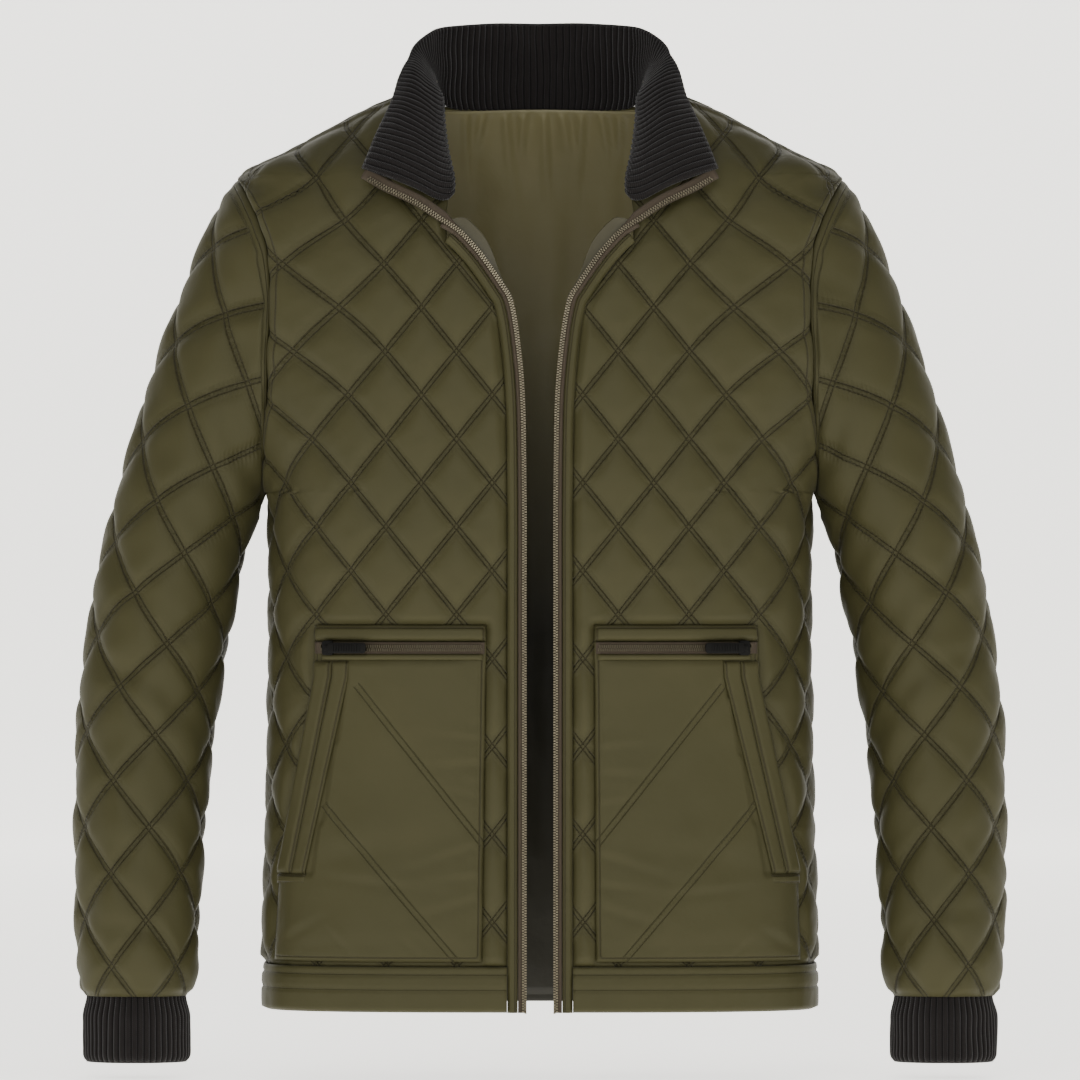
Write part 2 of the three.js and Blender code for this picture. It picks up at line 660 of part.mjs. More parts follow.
function makePocket(name) {
  const pocket = POCKETS[name];
  const whole = (z) => ({ inner: pocketInner(pocket, z), outer: pocketEdge(pocket, z) });
  const body = patch(pocket, pocketHeights(BAND_BOTTOM - SEAM_GAP, POCKET_BOTTOM), 6, whole, POCKET_LOW, POCKET_HIGH);
  add(`pocket_${name}`, body, MATERIALS.olive);
  const band = patch(pocket, [POCKET_TOP, BAND_BOTTOM], 6, whole, POCKET_LOW, POCKET_HIGH + 1.6);
  add(`pocket_band_${name}`, band, MATERIALS.olive);
  const on = POCKET_HIGH + SEAM_GAP * 2;
  const inset = (z) => ({ inner: pocketInner(pocket, z) + 2, outer: pocketEdge(pocket, z) - 6 });
  const teeth = patch(pocket, [TEETH_TOP, TEETH_BOTTOM], 6, inset, on, on + 1.4);
  add(`pocket_teeth_${name}`, teeth, MATERIALS.teeth);
  const lip = patch(pocket, [LIP_TOP, LIP_BOTTOM], 6, inset, on, on + 1.6);
  add(`pocket_lip_${name}`, lip, MATERIALS.olive);
  const welt = (from, to) => (z) => {
    const share = (WELT_TOP - z) / (WELT_TOP - WELT_BOTTOM);
    const edge = (column) => pocketEdge(pocket, z) - lerp(WELT_AT_TOP[column], WELT_AT_BOTTOM[column], share);
    return { inner: edge(to), outer: edge(from) };
  };
  const heights = pocketHeights(WELT_TOP, WELT_BOTTOM);
  const outerWelt = patch(pocket, heights, 2, welt('outer', 'middle'), on, on + 2.4);
  add(`welt_outer_${name}`, outerWelt, MATERIALS.olive);
  const inner = (z) => ({ inner: welt('middle', 'inner')(z).inner, outer: welt('middle', 'inner')(z).outer - SEAM_GAP });
  add(`welt_inner_${name}`, patch(pocket, heights, 2, inner, on, on + 1.8), MATERIALS.olive);
  makeSlider(name, pocket, on + 1.4 + SEAM_GAP);
}

// A small plate with round ends, lying on the pocket
function plate(wide, tall, thick, radius) {
  const shape = new THREE.Shape();
  const w = wide / 2 - radius;
  const h = tall / 2 - radius;
  shape.absarc(w, h, radius, 0, Math.PI / 2);
  shape.absarc(-w, h, radius, Math.PI / 2, Math.PI);
  shape.absarc(-w, -h, radius, Math.PI, Math.PI * 1.5);
  shape.absarc(w, -h, radius, Math.PI * 1.5, Math.PI * 2);
  return new THREE.ExtrudeGeometry(shape, { depth: thick, bevelEnabled: false, curveSegments: 2 });
}

function makeSlider(name, pocket, lift) {
  const z = (TEETH_TOP + TEETH_BOTTOM) / 2;
  const x = (pocketEdge(pocket, z) - 8 - SLIDER.wide / 2) * pocket.side;
  const seat = onBody(x, z, -1, lift);
  const far = onBody(x - 30 * pocket.side, z, -1, lift);
  const turn = Math.atan2((far.y - seat.y) * -pocket.side, 30);
  const stand = (geometry, along, away) => {
    geometry.rotateX(Math.PI / 2);
    geometry.translate(-along * pocket.side, -away, 0);
    geometry.rotateZ(turn);
    geometry.translate(seat.x, seat.y, seat.z);
    return fromGeometry(geometry);
  };
  add(`pocket_slider_${name}`, stand(plate(SLIDER.wide, SLIDER.tall, SLIDER.thick, 2), 0, 0), MATERIALS.black);
  const pull = plate(PULL.long, PULL.tall, PULL.thick, 2.5);
  const along = SLIDER.wide / 2 - PULL.overlap + PULL.long / 2;
  add(`pocket_pull_${name}`, stand(pull, along, SLIDER.thick + PULL.clear), MATERIALS.black);
}

// The room that a pocket takes out of the quilting round it
const POCKET_ROOM_TOP = 14; // above every diamond
function pocketRoom(pocket) {
  const grow = 0.4;
  const whole = (z) => ({ inner: pocketInner(pocket, z) - grow, outer: pocketEdge(pocket, z) + grow });
  const heights = [POCKET_TOP + grow, ...POCKET_LEVELS, POCKET_BOTTOM - 2];
  return patch(pocket, heights, 6, whole, POCKET_LOW - SEAM_GAP, POCKET_ROOM_TOP);
}

function makeFront(name, side) {
  const place = (i, j, lift) => roundBody((FRONT_FIRST_COLUMN + HALF_WIDE * i) * side, rowHeight(j), -1, lift);
  const sheet = quilted(FRONT_COLUMNS, BODY_ROWS, 0, false, place);
  const cut = sheet.intersect(prism(frontOutline(), side)).intersect(frontSpace);
  add(`front_${name}`, cut.subtract(collarRoom).subtract(pocketRoom(POCKETS[name])), MATERIALS.olive);
}

function makeBack() {
  const middle = FRONT_COLUMNS;
  const place = (i, j, lift) => roundBody((i - middle) * HALF_WIDE, rowHeight(j), 1, lift);
  const sheet = quilted(FRONT_COLUMNS * 2, BODY_ROWS, 0, false, place);
  const cut = sheet.intersect(prism(backOutline())).intersect(backSpace);
  add('back', cut.subtract(collarRoom), MATERIALS.olive);
}

// A point of the sleeve: angle from its outer edge towards the front, run along its middle
function onSleeve(angle, run, lift, side) {
  const at = (turn, along) => {
    const { out, inner, depth, forward } = sleeveSection(clamp(along, 0, SLEEVE_LENGTH));
    const middle = out.clone().add(inner).multiplyScalar(0.5);
    const reach = out.clone().sub(inner).multiplyScalar(0.5 * Math.cos(turn));
    return new THREE.Vector3(middle.x + reach.x, -forward - depth * Math.sin(turn), middle.y + reach.y);
  };
  const turn = THREE.MathUtils.degToRad(angle);
  const point = at(turn, run);
  const along = at(turn, run + 2).sub(at(turn, run - 2));
  const round = at(turn + 0.02, run).sub(at(turn - 0.02, run));
  point.addScaledVector(round.cross(along).normalize(), lift);
  point.x *= side;
  return point;
}

const UNDERARM_CLEAR = 207.5; // the sleeve stays outside this below the armhole
function sleeveOutline() {
  const seam = armholeSide(SEAM_GAP * 2).slice(1);
  return [{ x: UNDERARM_CLEAR, z: -760 }, { x: UNDERARM_CLEAR, z: ARMHOLE_BOTTOM }, ...seam, { x: 260, z: 20 }, { x: 420, z: 20 }, { x: 420, z: -760 }];
}

const LAST_CROSSING = -648; // the lowest row of crossings on the sleeve
function makeSleeve(name, side) {
  const lowest = sleeveRows.find((row) => row.outZ === LAST_CROSSING).run;
  const runs = [SLEEVE_LENGTH];
  for (let run = lowest; run > SLEEVE_HALF_TALL / 2; run -= SLEEVE_HALF_TALL) runs.push(run);
  if (runs.length % 2 === 0) runs.push(0);
  runs[runs.length - 1] = 0;
  const rows = runs.length - 1;
  const runAt = (j) => {
    const k = Math.min(Math.floor(j), rows - 1);
    return lerp(runs[k], runs[k + 1], j - k);
  };
  const turn = 360 / SLEEVE_COLUMNS;
  const place = (i, j, lift) => onSleeve(SLEEVE_FIRST_ANGLE + i * turn, runAt(j), lift, side);
  const tube = quilted(SLEEVE_COLUMNS, rows, 0, true, place);
  add(`sleeve_${name}`, tube.intersect(prism(sleeveOutline(), side)), MATERIALS.olive);
}

// A ribbed tube on below the sleeve, plain inside, with a rounded lower edge
function makeCuff(name, side) {
  const end = SLEEVE[SLEEVE.length - 1];
  const middle = (end.outX + end.inX) / 2;
  const levels = [
    { z: CUFF_TOP, grow: -2.5 },
    { z: CUFF_BOTTOM + 5, grow: 1 },
    { z: CUFF_BOTTOM, grow: -0.4 },
  ];
  const inside = [{ z: CUFF_TOP, grow: -2.5 }, { z: CUFF_BOTTOM, grow: -0.4 }];
  const circle = (count, level, lift) => Array.from({ length: count }, (_, k) => {
    const angle = (2 * Math.PI * k) / count;
    const reach = level.grow + lift(k);
    const x = middle + ((end.outX - end.inX) / 2 - 1.5 + reach) * Math.cos(angle);
    return new THREE.Vector3(x * side, -end.forward - (end.depth - 3 + reach) * Math.sin(angle), level.z);
  });
  const outerCount = CUFF_RIBS * 2;
  const innerCount = CUFF_RIBS / 2;
  const points = [];
  const triangles = [];
  const rings = [
    ...levels.map((level) => circle(outerCount, level, (k) => (k % 2 ? RIB_RISE : 0))),
    ...inside.map((level) => circle(innerCount, level, () => -CUFF_WALL)),
  ];
  const starts = rings.map((row) => {
    points.push(...row);
    return points.length - row.length;
  });
  const at = (row, k) => starts[row] + (k % rings[row].length);
  for (let row = 0; row < levels.length - 1; row += 1) {
    for (let k = 0; k < outerCount; k += 1) {
      triangles.push([at(row, k), at(row + 1, k), at(row + 1, k + 1)], [at(row, k), at(row + 1, k + 1), at(row, k + 1)]);
    }
  }
  const [innerTop, innerLow] = [levels.length, levels.length + 1];
  for (let k = 0; k < innerCount; k += 1) {
    triangles.push([at(innerTop, k), at(innerLow, k + 1), at(innerLow, k)]);
    triangles.push([at(innerTop, k), at(innerTop, k + 1), at(innerLow, k + 1)]);
  }
  const each = outerCount / innerCount;
  for (const [outer, inner, up] of [[0, innerTop, true], [levels.length - 1, innerLow, false]]) {
    for (let k = 0; k < innerCount; k += 1) {
      const rim = [];
      for (let m = 0; m < each; m += 1) {
        rim.push([at(outer, k * each + m), at(outer, k * each + m + 1), at(inner, k)]);
      }
      rim.push([at(outer, (k + 1) * each), at(inner, k + 1), at(inner, k)]);
      for (const [a, b, c] of rim) triangles.push(up ? [a, b, c] : [a, c, b]);
    }
  }
  add(`cuff_${name}`, closed(points, triangles), MATERIALS.rib);
}

// A plain band round the body at the hem
function hemBand(from, to, count, facing, high = 0.5) {
  const heights = [HEM_TOP, -662, HEM_BOTTOM + 1.5, HEM_BOTTOM];
  const swell = [0, 1, 1, -0.5];
  const grid = (face) => heights.map((z, k) => steps(count).map((share) => (
    roundBody(lerp(from, to, share), z, facing, face > 0 ? high + swell[k] : INSIDE))));
  return wall(grid(1), grid(-1));
}

function makeHem() {
  const half = ring(-665).half - SEAM_GAP;
  add('hem_back', hemBand(-half, half, 22, 1), MATERIALS.olive);
  add('hem_right', hemBand(-(FRONT_EDGE[FRONT_EDGE.length - 1].x + PANEL_INSET), -half, 10, -1), MATERIALS.olive);
  add('hem_left', hemBand(FRONT_EDGE[FRONT_EDGE.length - 1].x + PANEL_INSET, half, 10, -1), MATERIALS.olive);
}

const PLACKET = { low: -4.5, high: 1.2 };
const TAPE = { low: -0.8, high: 0.4 };
const TEETH = { low: -1.2, high: 1.4 };
const FACING = { low: -3, high: -1.5, inset: -7, from: 0.26, to: 0.5 };

function flipped(solid, side) {
  return side < 0 ? solid.mirror([1, 0, 0]) : solid;
}

function makeFrontEdge(name, side) {
  const placket = edgeStrip(PLACKET_START, EDGE_END, PLACKET_INSET, PLACKET_INSET + PLACKET_WIDE, PLACKET.low, PLACKET.high);
  add(`placket_${name}`, flipped(placket.subtract(collarRoom), side), MATERIALS.olive);
  const tape = edgeStrip(0, EDGE_END, TAPE_INSET, TAPE_INSET + TAPE_WIDE, TAPE.low, TAPE.high);
  add(`zip_tape_${name}`, flipped(tape.subtract(collarRoom), side), MATERIALS.tape);
  const teeth = edgeStrip(0, EDGE_END, 0, TEETH_WIDE, TEETH.low, TEETH.high);
  add(`zip_teeth_${name}`, flipped(teeth, side), MATERIALS.teeth);
  const facing = edgeStrip(FACING.from, FACING.to, FACING.inset, TAPE_INSET, FACING.low, FACING.high);
  add(`facing_${name}`, flipped(facing.subtract(collarRoom), side), MATERIALS.lining);
}

// The back's lining, inside its quilted wall, with its columns on the wall's own
const LINING_COLUMNS = 7;
function makeLining() {
  const rows = [];
  for (let j = 2; j <= BODY_ROWS; j += 2) rows.push(j);
  const grid = (lift) => rows.map((j) => steps(LINING_COLUMNS * 2).map((share) => (
    roundBody((share * 2 - 1) * LINING_COLUMNS * HALF_WIDE, rowHeight(j), 1, lift))));
  const sheet = wall(grid(INSIDE - SEAM_GAP), grid(INSIDE - SEAM_GAP - 1.4));
  const cut = sheet.intersect(prism(backOutline())).intersect(backSpace);
  add('lining_back', cut.subtract(collarRoom), MATERIALS.lining);
}

makeBack();
makeLining();
makeCollar();
makeHem();
for (const [name, side] of [['left', 1], ['right', -1]]) {
  makeFront(name, side);
  makeSleeve(name, side);
  makeCuff(name, side);
  makeFrontEdge(name, side);
  makePocket(name);
}

export default jacket;
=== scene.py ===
import math
import bmesh
import bpy
import numpy as np
from mathutils import Matrix, Vector


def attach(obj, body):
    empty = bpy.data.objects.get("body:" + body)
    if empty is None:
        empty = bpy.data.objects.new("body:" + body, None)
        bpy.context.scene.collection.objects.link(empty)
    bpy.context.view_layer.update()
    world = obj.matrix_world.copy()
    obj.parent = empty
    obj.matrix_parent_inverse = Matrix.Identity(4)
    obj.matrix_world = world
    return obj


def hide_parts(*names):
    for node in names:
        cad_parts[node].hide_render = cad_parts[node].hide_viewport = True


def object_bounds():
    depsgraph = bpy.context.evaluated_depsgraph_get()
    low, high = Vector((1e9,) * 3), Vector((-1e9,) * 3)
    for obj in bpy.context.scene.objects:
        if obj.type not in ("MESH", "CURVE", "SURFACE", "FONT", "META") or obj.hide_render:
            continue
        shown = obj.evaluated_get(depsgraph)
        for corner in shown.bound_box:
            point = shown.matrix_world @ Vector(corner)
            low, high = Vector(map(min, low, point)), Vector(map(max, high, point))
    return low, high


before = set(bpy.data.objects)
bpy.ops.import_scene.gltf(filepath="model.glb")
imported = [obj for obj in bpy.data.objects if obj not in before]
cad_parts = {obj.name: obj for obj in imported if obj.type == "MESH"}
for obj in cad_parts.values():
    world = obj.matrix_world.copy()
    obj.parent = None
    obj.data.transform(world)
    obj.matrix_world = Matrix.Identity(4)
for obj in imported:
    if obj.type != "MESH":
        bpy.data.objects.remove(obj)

cad_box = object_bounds()
MM = 0.001

# Cloth and seams, in millimetres like every size below
GROOVE = -2.2
PUFF = 5.6  # how far a diamond's middle stands above its stitch lines
SLEEVE_PUFF = 5.0
INSIDE = -5.0
HALF_WIDE = 26.5
HALF_TALL = 32.75
FRONT_FIRST_COLUMN = 5.5
FIRST_ROW = -122.0
SIDE_STRETCH = 0.77
FINE = 2.8  # spacing of the points of the quilted panels

# Body sections by height: half width, half depth and roundness
BODY = np.array([
    (-700, 209, 118, 3.0), (-640, 208, 119, 3.0), (-560, 205.5, 120, 3.0), (-470, 203.5, 121, 3.0),
    (-390, 202.5, 123, 2.95), (-310, 203, 125, 2.9), (-292, 204.5, 125, 2.9), (-210, 209, 123, 2.85),
    (-150, 211, 119, 2.8), (-110, 213, 113, 2.75), (-80, 218, 105, 2.7), (-54, 225, 95, 2.55),
    (-36, 193, 87, 2.35), (-20, 163, 79, 2.2), (-3, 131, 70, 2.1), (5, 112, 66, 2.0),
    (18, 80, 56, 2.0), (40, 24, 26, 2.0),
])
HEM_BOTTOM, HEM_TOP = -681.0, -647.0

# The armhole seam seen from the front: height, distance from the middle
ARMHOLE = np.array([
    (-292, 204.5), (-245, 204), (-213, 203), (-182, 202.5), (-152, 201), (-130, 202), (-110, 204),
    (-88, 211), (-55, 226), (-40, 234),
])
ARMHOLE_TOP, ARMHOLE_BOTTOM = -54.0, -292.0

# Sleeve sections: outer edge x, z; inner edge x, z; half depth; how far forward
SLEEVE = np.array([
    (206, -42, 112, -120, 56, 0), (227, -55, 126, -137, 60, 0), (240, -74, 136, -156, 62, 0),
    (260, -118, 152, -194, 63, 0), (283, -178, 178, -236, 63, 0), (303, -240, 199, -281, 62, 1),
    (321, -304, 219, -324, 61, 3), (335, -364, 232, -380, 60, 5), (343, -419, 240, -428, 59, 8),
    (348, -465, 246, -470, 58, 11), (349.5, -534, 253, -535, 56, 16), (349, -592, 257, -592, 53, 20),
    (347, -648, 260, -648, 49, 23), (344, -672, 264, -672, 42, 24),
])
SLEEVE_COLUMNS = 10
SLEEVE_FIRST_ANGLE = 65.0
SLEEVE_HALF_TALL = 34.8

# The neck seam seen from the front, and the collar's free edge
NECK_BACK = [(0, 0), (40, 0.5), (66, 3), (76, 10)]
NECK_SIDE = (80, 18)
NECK_FRONT = [(78, 12), (73, 2), (72, -15), (69, -38), (64, -62), (67, -81)]
COLLAR_EDGE = [
    (0, 70, 64.5), (35, 67, 64.5), (64, 52, 62), (80, 30, 58), (92, 5, 49), (99, -22, 36),
    (106, -50, 16), (114, -74, -4), (124, -92, -29), (133, -106, -51),
]
COLLAR_RIBS = 115
COLLAR_ROLL = 20.0

# The front edge, where the zip's teeth end
FRONT_EDGE = [
    (132.5, -107, -54), (115.5, -112, -64), (92.5, -114, -75), (74, -115, -87), (60, -114, -96),
    (49, -114, -107), (40, -115, -118), (27, -117.5, -137), (20, -118.5, -150), (15, -121, -178),
    (11, -123.5, -224), (9.8, -125, -300), (9.8, -123.5, -374), (9.8, -121, -470), (9.8, -120, -560),
    (9.8, -119, -640), (9.8, -118, -681),
]
TEETH_WIDE, TAPE_WIDE, PLACKET_WIDE, GAP = 3.9, 2.4, 7.6, 0.3

# Patch pockets: side, then distances from the middle at the top, corner, widest place and foot
POCKETS = {
    "right": dict(side=-1, top_inner=40, top_outer=169, corner=169, wide=196, low_outer=200, low_inner=43.5),
    "left": dict(side=1, top_inner=40.5, top_outer=163, corner=163.5, wide=194, low_outer=196, low_inner=42),
}
POCKET_TOP, BAND_BOTTOM, POCKET_CORNER, POCKET_WIDE_AT, POCKET_BOTTOM = -392.0, -404.0, -430.0, -575.0, -643.0
ZIP_TOP, ZIP_BOTTOM, LIP_TOP, LIP_BOTTOM = -406.5, -411.5, -413.5, -418.0
WELT_TOP, WELT_BOTTOM = -419.0, -578.0

CUFF_TOP, CUFF_BOTTOM, CUFF_RIBS = -672.5, -721.0, 52


def smooth_read(table, at, column):
    """A table's column read along a smooth curve with no overshoot."""
    keys, values = table[:, 0], table[:, column]
    at = np.clip(at, keys[0], keys[-1])
    slopes = np.diff(values) / np.diff(keys)
    bends = np.concatenate([[slopes[0]], np.zeros(len(keys) - 2), [slopes[-1]]])
    product = slopes[:-1] * slopes[1:]
    total = slopes[:-1] + slopes[1:]
    safe = np.where(product > 0, total, 1)
    bends[1:-1] = np.where(product > 0, 2 * product / safe, 0)
    bends[0], bends[-1] = slopes[0], slopes[-1]
    i = np.clip(np.searchsorted(keys, at) - 1, 0, len(keys) - 2)
    span = keys[i + 1] - keys[i]
    t = (at - keys[i]) / span
    return (
        values[i] * (1 + 2 * t) * (1 - t) ** 2
        + values[i + 1] * t * t * (3 - 2 * t)
        + span * (bends[i] * t * (1 - t) ** 2 - bends[i + 1] * t * t * (1 - t))
    )


def ease(low, high, x):
    t = np.clip((x - low) / (high - low), 0, 1)
    return t * t * (3 - 2 * t)


sleeve_middle = (SLEEVE[:, 0:2] + SLEEVE[:, 2:4]) / 2
sleeve_run = np.concatenate([[0], np.cumsum(np.linalg.norm(np.diff(sleeve_middle, axis=0), axis=1))])
SLEEVE_TABLE = np.column_stack([sleeve_run, SLEEVE])
SLEEVE_LENGTH = sleeve_run[-1]


def sleeve_section(run):
    return [smooth_read(SLEEVE_TABLE, run, column) for column in range(1, 7)]


def armhole_half_depth(z):
    """Half the front-to-back size of the sleeve where it meets the armhole seam."""
    x = smooth_read(ARMHOLE, z, 1)
    low, high = np.zeros_like(z), np.full_like(z, SLEEVE_LENGTH)
    for _ in range(30):
        run = (low + high) / 2
        ox, oz, ix, iz, _d, _f = sleeve_section(run)
        beyond = (ix - ox) * (z - oz) - (iz - oz) * (x - ox) > 0
        low, high = np.where(beyond, low, run), np.where(beyond, run, high)
    ox, oz, ix, iz, depth, _f = sleeve_section(low)
    share = np.hypot(x - ox, z - oz) / np.hypot(ix - ox, iz - oz)
    cosine = np.clip(1 - 2 * share, -1, 1)
    return depth * np.sqrt(1 - cosine * cosine)


# The body's sections read once, every half millimetre
levels = np.arange(-700, 40.5, 0.5)
level_side = smooth_read(BODY, levels, 1)
level_depth = smooth_read(BODY, levels, 2)
level_power = smooth_read(BODY, levels, 3)
at_armhole = (levels > ARMHOLE_BOTTOM) & (levels < ARMHOLE_TOP)
share = np.clip(armhole_half_depth(levels) / level_depth, 0, 0.8)
armhole_side = smooth_read(ARMHOLE, levels, 1) / (1 - share**level_power) ** (1 / level_power)
level_side = np.where(at_armhole, armhole_side, level_side)


def section(z):
    return [np.interp(z, levels, values) for values in (level_side, level_depth, level_power)]


RING_STEPS = 240
ring_angle = np.linspace(0, np.pi, RING_STEPS + 1)


def ring(z):
    """The right half of a horizontal section: x, y and the distance across in quilting widths."""
    side, depth, power = section(z)
    sine, cosine = np.clip(np.sin(ring_angle), 0, 1), np.cos(ring_angle)
    x = side * sine ** (2 / power)
    y = -depth * np.sign(cosine) * np.abs(cosine) ** (2 / power)
    step = np.maximum(np.abs(np.diff(x)), np.hypot(np.diff(x), np.diff(y)) * SIDE_STRETCH)
    return x, y, np.concatenate([[0], np.cumsum(step)])


def body_row(across, z, facing):
    """Points of the body at distances across from its middle at one height."""
    x, y, so_far = ring(z)
    size = np.abs(across)
    px = np.interp(size, so_far, x) * np.where(across < 0, -1, 1)
    py = np.interp(size, so_far, y) * -facing
    return np.stack([px, py, np.full_like(px, z)], axis=-1)


def across_at(x, z):
    """The distance across at which the body's section is x wide."""
    rx, _ry, so_far = ring(z)
    half = RING_STEPS // 2
    return float(np.interp(min(abs(x), rx[half]), rx[: half + 1], so_far[: half + 1]))


def across_at_seam(z, y):
    """The distance across, from the front's middle, at which the section crosses y."""
    _rx, ry, so_far = ring(z)
    return float(np.interp(y, ry, so_far))


def grid_normals(points, wrap=False):
    """Unit normals of a grid of points, from its neighbours."""
    if wrap:
        ends = np.concatenate([points[:, -2:-1], points, points[:, 1:2]], axis=1)
        across = ends[:, 2:] - ends[:, :-2]
    else:
        across = np.gradient(points, axis=1)
    up = np.gradient(points, axis=0)
    normals = np.cross(across, up)
    return normals / np.maximum(np.linalg.norm(normals, axis=-1, keepdims=True), 1e-9)


def lattice(across, up, first_across, first_up, wide, tall):
    """The two diagonal coordinates of the quilting: its seams lie where either is whole."""
    u, v = (across - first_across) / (2 * wide), (up - first_up) / (2 * tall)
    return u + v, u - v


def pillow(a, b, pitch):
    """The height of the quilting, 0 at a seam and near 1 in a diamond's middle."""
    height = 1.0
    for value in (a, b):
        away = np.abs(value - np.round(value)) * pitch
        height = height * (1 - np.exp(-np.maximum(away - 0.8, 0) / 4.2))
    return height / (1 - math.exp(-(pitch / 2 - 0.8) / 4.2)) ** 2


def lumps(x, y, seed):
    """Slow uneven swellings and small puckers, the same on each run, from sums of waves."""
    rng = np.random.default_rng(seed)
    total = np.zeros_like(x)
    for _ in range(14):
        length = rng.uniform(14, 60)
        turn = rng.uniform(0, np.pi)
        phase = rng.uniform(0, 2 * np.pi)
        wave = (x * math.cos(turn) + y * math.sin(turn)) * 2 * np.pi / length
        total += np.sin(wave + phase + 0.8 * np.sin(wave * 0.37 + seed)) * length / 60
    return total / 6


def finish_piece(name, bm, materials, body="jacket", replaces=(), slot=None, smooth=True):
    if bm.calc_volume(signed=True) < 0:
        bmesh.ops.reverse_faces(bm, faces=bm.faces)
    mesh = bpy.data.meshes.new(name)
    bm.to_mesh(mesh)
    bm.free()
    piece = bpy.data.objects.new(name, mesh)
    bpy.context.scene.collection.objects.link(piece)
    for material in materials:
        mesh.materials.append(material)
    if smooth:
        for polygon in mesh.polygons:
            polygon.use_smooth = True
    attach(piece, body)
    if replaces:
        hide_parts(*replaces)
    return piece


def cloth(name, outer, inner, pattern, materials, closed=False, **kind):
    """A thin closed shell from two grids of points; pattern gives each point its UV place."""
    rows, columns = outer.shape[:2]
    bm = bmesh.new()
    uv_layer = bm.loops.layers.uv.new("cloth")
    edge_layer = bm.loops.layers.uv.new("edge")
    if pattern.shape[-1] == 2:
        pattern = np.concatenate([pattern, np.full_like(pattern, 99.0)], axis=-1)
    places = []
    for face_index, layer in enumerate((outer, inner)):
        made = bmesh.ops.create_grid(bm, x_segments=columns - 1, y_segments=rows - 1, size=0.5)
        here = {}
        for v in made["verts"]:
            i = round((v.co.x + 0.5) * (columns - 1))
            j = round((v.co.y + 0.5) * (rows - 1))
            here[v] = (i, j)
            v.co = layer[j, i] * MM
        faces = {f for v in made["verts"] for f in v.link_faces}
        for face in faces:
            face.material_index = face_index if len(materials) > 1 else 0
            for loop in face.loops:
                i, j = here[loop.vert]
                loop[uv_layer].uv = pattern[j, i, :2]
                loop[edge_layer].uv = pattern[j, i, 2:]
        places.append(here)
    if closed:
        grids = [{place: v for v, place in here.items()} for here in places]
        for row in (0, rows - 1):
            for i in range(columns - 1):
                rims = [bm.edges.get((grid[i, row], grid[i + 1, row])) for grid in grids]
                bmesh.ops.bridge_loops(bm, edges=rims)
        bmesh.ops.remove_doubles(bm, verts=bm.verts, dist=1e-6)
    else:
        bmesh.ops.bridge_loops(bm, edges=[e for e in bm.edges if e.is_boundary])
    bmesh.ops.recalc_face_normals(bm, faces=bm.faces)
    return finish_piece(name, bm, materials, **kind)


class Shades:
    """A material's nodes, made with short calls."""

    def __init__(self, name):
        self.material = bpy.data.materials.new(name)
        self.material.use_nodes = True
        self.tree = self.material.node_tree
        self.shader = self.tree.nodes["Principled BSDF"]

    def node(self, kind, inputs=None, **settings):
        made = self.tree.nodes.new(kind)
        for key, value in settings.items():
            setattr(made, key, value)
        for key, value in (inputs or {}).items():
            if isinstance(value, bpy.types.NodeSocket):
                self.tree.links.new(value, made.inputs[key])
            else:
                made.inputs[key].default_value = value
        return made

    def math(self, operation, a, b=0.0, c=0.0, clamp=False):
        return self.node("ShaderNodeMath", {0: a, 1: b, 2: c}, operation=operation, use_clamp=clamp).outputs[0]

    def near(self, value, width):
        """1 where a value is 0, falling to 0 at a width away."""
        return self.math("SUBTRACT", 1.0, self.math("DIVIDE", self.math("ABSOLUTE", value), width), clamp=True)

    def to_whole(self, value, offset=0.0):
        """The signed distance to the nearest whole number."""
        moved = self.math("ADD", value, offset)
        return self.math("SUBTRACT", moved, self.math("ROUND", moved))

    def noise(self, vector, scale, detail=3.0, rough=0.55):
        set_to = {"Vector": vector, "Scale": scale, "Detail": detail, "Roughness": rough}
        return self.node("ShaderNodeTexNoise", set_to).outputs[0]

    def mix(self, factor, dark, light):
        return self.node(
            "ShaderNodeMix", {0: factor, 6: dark, 7: light}, data_type="RGBA"
        ).outputs[2]

    def object_place(self):
        return self.node("ShaderNodeTexCoord").outputs["Object"]

    def uv(self, layer="cloth"):
        place = self.node("ShaderNodeUVMap", uv_map=layer).outputs[0]
        split = self.node("ShaderNodeSeparateXYZ", {0: place})
        return place, split.outputs[0], split.outputs[1]

    def bump(self, height, strength, distance, below=None):
        inputs = {"Height": height, "Strength": strength, "Distance": distance}
        if below is not None:
            inputs["Normal"] = below
        return self.node("ShaderNodeBump", inputs).outputs[0]

    def finish(self, colour, normal=None, roughness=0.5, metallic=0.0, sheen=0.0, specular=0.5):
        for key, value in (("Base Color", colour), ("Roughness", roughness), ("Normal", normal)):
            if isinstance(value, bpy.types.NodeSocket):
                self.tree.links.new(value, self.shader.inputs[key])
            elif value is not None:
                self.shader.inputs[key].default_value = value
        self.shader.inputs["Metallic"].default_value = metallic
        self.shader.inputs["Sheen Weight"].default_value = sheen
        self.shader.inputs["Sheen Roughness"].default_value = 0.4
        self.shader.inputs["Specular IOR Level"].default_value = specular
        return self.material


def tone(r, g, b):
    """A colour given as it looks on screen, 0 to 255, made linear."""
    return tuple(((c / 255 + 0.055) / 1.055) ** 2.4 if c > 10 else c / 255 / 12.92 for c in (r, g, b)) + (1.0,)


# The darkest olive colours the stitch lines and is also painted into the quilting's grooves as shade.
OLIVE_LIGHT, OLIVE, OLIVE_SEAM_AND_GROOVE_SHADE = tone(63, 60, 36), tone(55, 53, 31), tone(24, 21, 11)
THREAD = tone(52, 46, 28)
DIAGONAL_PITCH = 1 / math.hypot(1 / (2 * HALF_WIDE), 1 / (2 * HALF_TALL))


